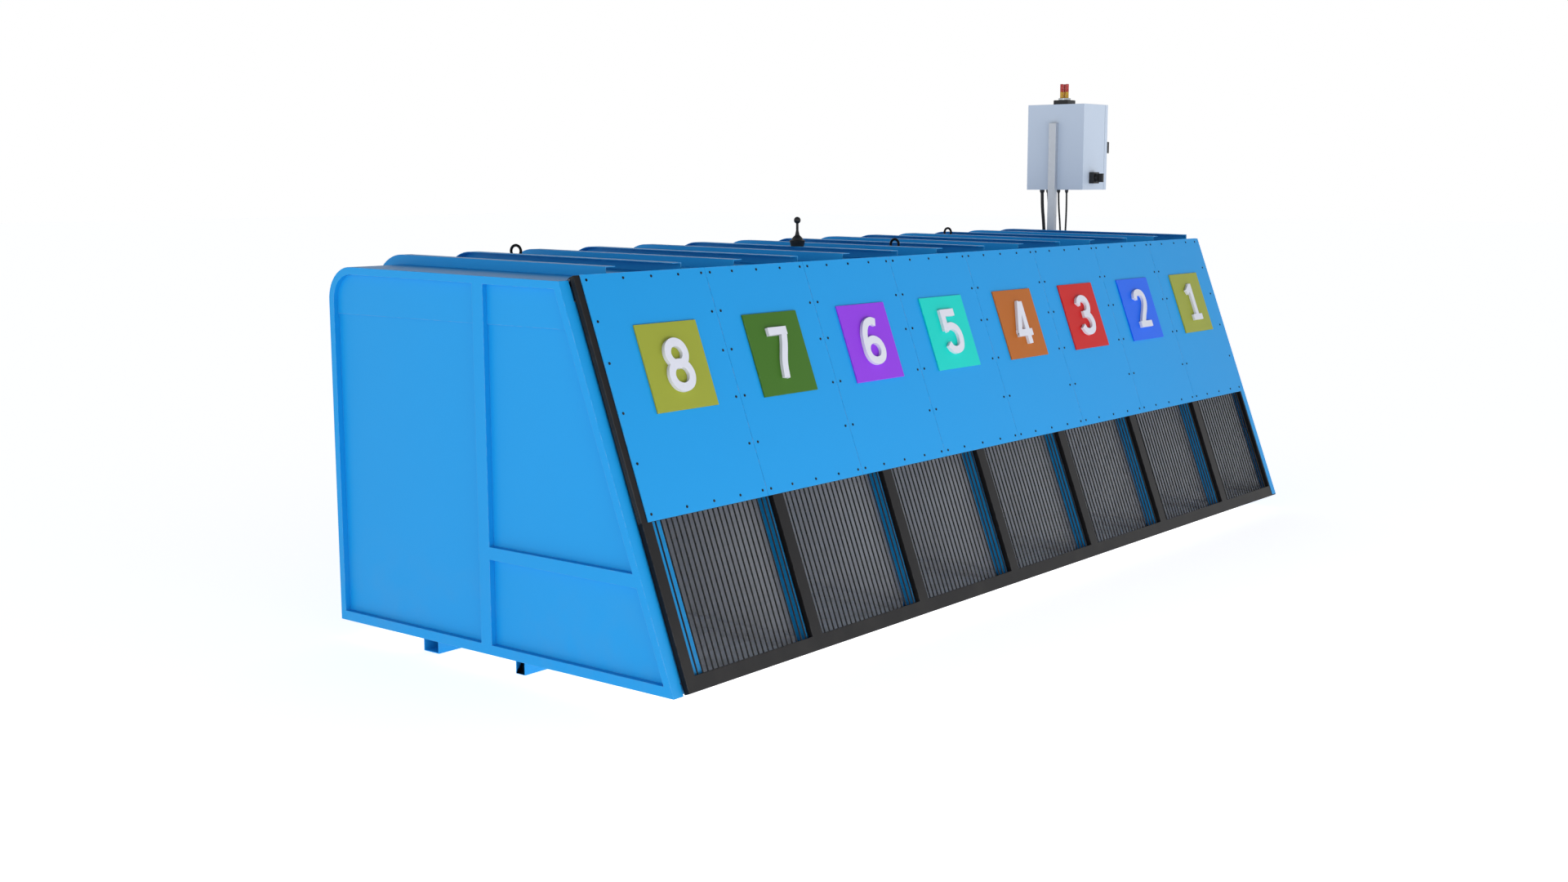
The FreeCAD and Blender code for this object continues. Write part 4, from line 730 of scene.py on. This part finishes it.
def make_rail_linings():
    """Thin strips folded over both sides of each divider's foot rail."""
    build = bmesh.new()
    for sheet in islands("divider_sheets"):
        low = min(v.co.z for v in sheet.verts)
        foot = [v.co for v in sheet.verts if v.co.z < low + FOOT_BAND]
        y0 = min(co.y for co in foot) + 0.002
        y1 = max(co.y for co in foot) - 0.002
        middle = centre_of(sheet).x
        half = max(abs(v.co.x - middle) for v in sheet.verts)
        for side in (-1, 1):
            wall = RAIL_HALF + LINING_GAP
            sole = low - RAIL_HEIGHT + SOLE_GAP
            top = low + LINING_GAP
            inner = half + 2 * LINING_GAP
            outline = [(wall, sole), (wall + LINING, sole), (wall + LINING, top + LINING),
                       (inner, top + LINING), (inner, top), (wall, top)]
            folded_strip(build, [(middle + side * x, z) for x, z in outline], y0, y1)
        sheet.free()
    bmesh.ops.recalc_face_normals(build, faces=build.faces)
    strips = add_piece("divider_rail_linings", build, finishes["grey_sheet"], "box")
    soften(strips, 0.0004)


# ---------------------------------------------------------------------------------------
# Stage, light and camera
# ---------------------------------------------------------------------------------------
def make_stage():
    """A plain pale floor, as bright as the air around it."""
    ground = bmesh.new()
    bmesh.ops.create_grid(ground, x_segments=1, y_segments=1, size=60.0)
    mesh = bpy.data.meshes.new("studio_floor")
    ground.to_mesh(mesh)
    ground.free()
    floor = bpy.data.objects.new("studio_floor", mesh)
    bpy.context.scene.collection.objects.link(floor)
    pale = bpy.data.materials.new("pale_floor")
    pale.use_nodes = True
    for socket, value in (("Base Color", (0.80, 0.80, 0.80, 1)), ("Emission Color", (1, 1, 1, 1)),
                          ("Emission Strength", 0.70), ("Roughness", 0.9), ("Specular IOR Level", 0.0)):
        pale.node_tree.nodes["Principled BSDF"].inputs[socket].default_value = value
    mesh.materials.append(pale)


def add_softbox(name, place, target, size, power):
    """A rectangular soft light that stands at a place and faces a target."""
    light = bpy.data.lights.new(name, "AREA")
    light.shape = "RECTANGLE"
    light.size, light.size_y = size
    light.energy = power
    lamp = bpy.data.objects.new(name, light)
    bpy.context.scene.collection.objects.link(lamp)
    lamp.location = place
    lamp.rotation_mode = "QUATERNION"
    lamp.rotation_quaternion = (Vector(target) - Vector(place)).to_track_quat("-Z", "Y")


def make_light():
    """White air that the camera sees, softer air that lights the box, and two low soft lights."""
    world = bpy.data.worlds.new("studio_air")
    world.use_nodes = True
    tree = world.node_tree
    seen = tree.nodes["Background"]
    seen.inputs["Color"].default_value = (1, 1, 1, 1)
    seen.inputs["Strength"].default_value = 1.0
    # the air lights the piece less from above than from the sides
    direction = tree.nodes.new("ShaderNodeTexCoord")
    height = tree.nodes.new("ShaderNodeSeparateXYZ")
    tree.links.new(direction.outputs["Generated"], height.inputs["Vector"])
    share = spread(tree, height.outputs["Z"], 0.0, 0.70)
    lit = tree.nodes.new("ShaderNodeBackground")
    tree.links.new(blend_colour(tree, share, (1.0, 1.0, 1.0, 1), (0.16, 0.17, 0.19, 1)), lit.inputs["Color"])
    lit.inputs["Strength"].default_value = 1.22
    ray = tree.nodes.new("ShaderNodeLightPath")
    choose = tree.nodes.new("ShaderNodeMixShader")
    tree.links.new(ray.outputs["Is Camera Ray"], choose.inputs["Fac"])
    tree.links.new(lit.outputs["Background"], choose.inputs[1])
    tree.links.new(seen.outputs["Background"], choose.inputs[2])
    tree.links.new(choose.outputs["Shader"], tree.nodes["World Output"].inputs["Surface"])
    bpy.context.scene.world = world
    add_softbox("low_front_softbox", (-0.5, -3.6, 0.35), (0.2, 0, 0.6), (6.0, 0.8), 60.0)
    add_softbox("left_softbox", (-7.0, -1.0, 1.0), (-2.0, 0, 0.6), (3.0, 2.0), 60.0)


def make_camera():
    """The camera stands off the left front corner of the box, looking slightly down."""
    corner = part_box("left_end_frame")[0]
    data = bpy.data.cameras.new("view")
    data.sensor_width = 36.0
    data.lens = 40.15
    camera = bpy.data.objects.new("view", data)
    bpy.context.scene.collection.objects.link(camera)
    camera.location = corner + Vector((-3.5355, -3.2313, 1.4498))
    right = Vector((0.62482, -0.78077, -0.00176))
    up = Vector((0.11586, 0.09049, 0.98914))
    back = right.cross(up)
    camera.rotation_mode = "QUATERNION"
    camera.rotation_quaternion = Matrix((right, up, back)).transposed().to_quaternion()
    data.clip_end = 200.0
    bpy.context.scene.camera = camera


bpy.context.scene.view_settings.view_transform = "Standard"
dress_cad_nodes()
make_number_plates()
make_plate_numbers()
make_panel_screws()
make_edge_seal()
make_edge_flashing()
make_light_lenses()
make_rail_linings()
make_end_linings()
make_stage()
make_light()
make_camera()
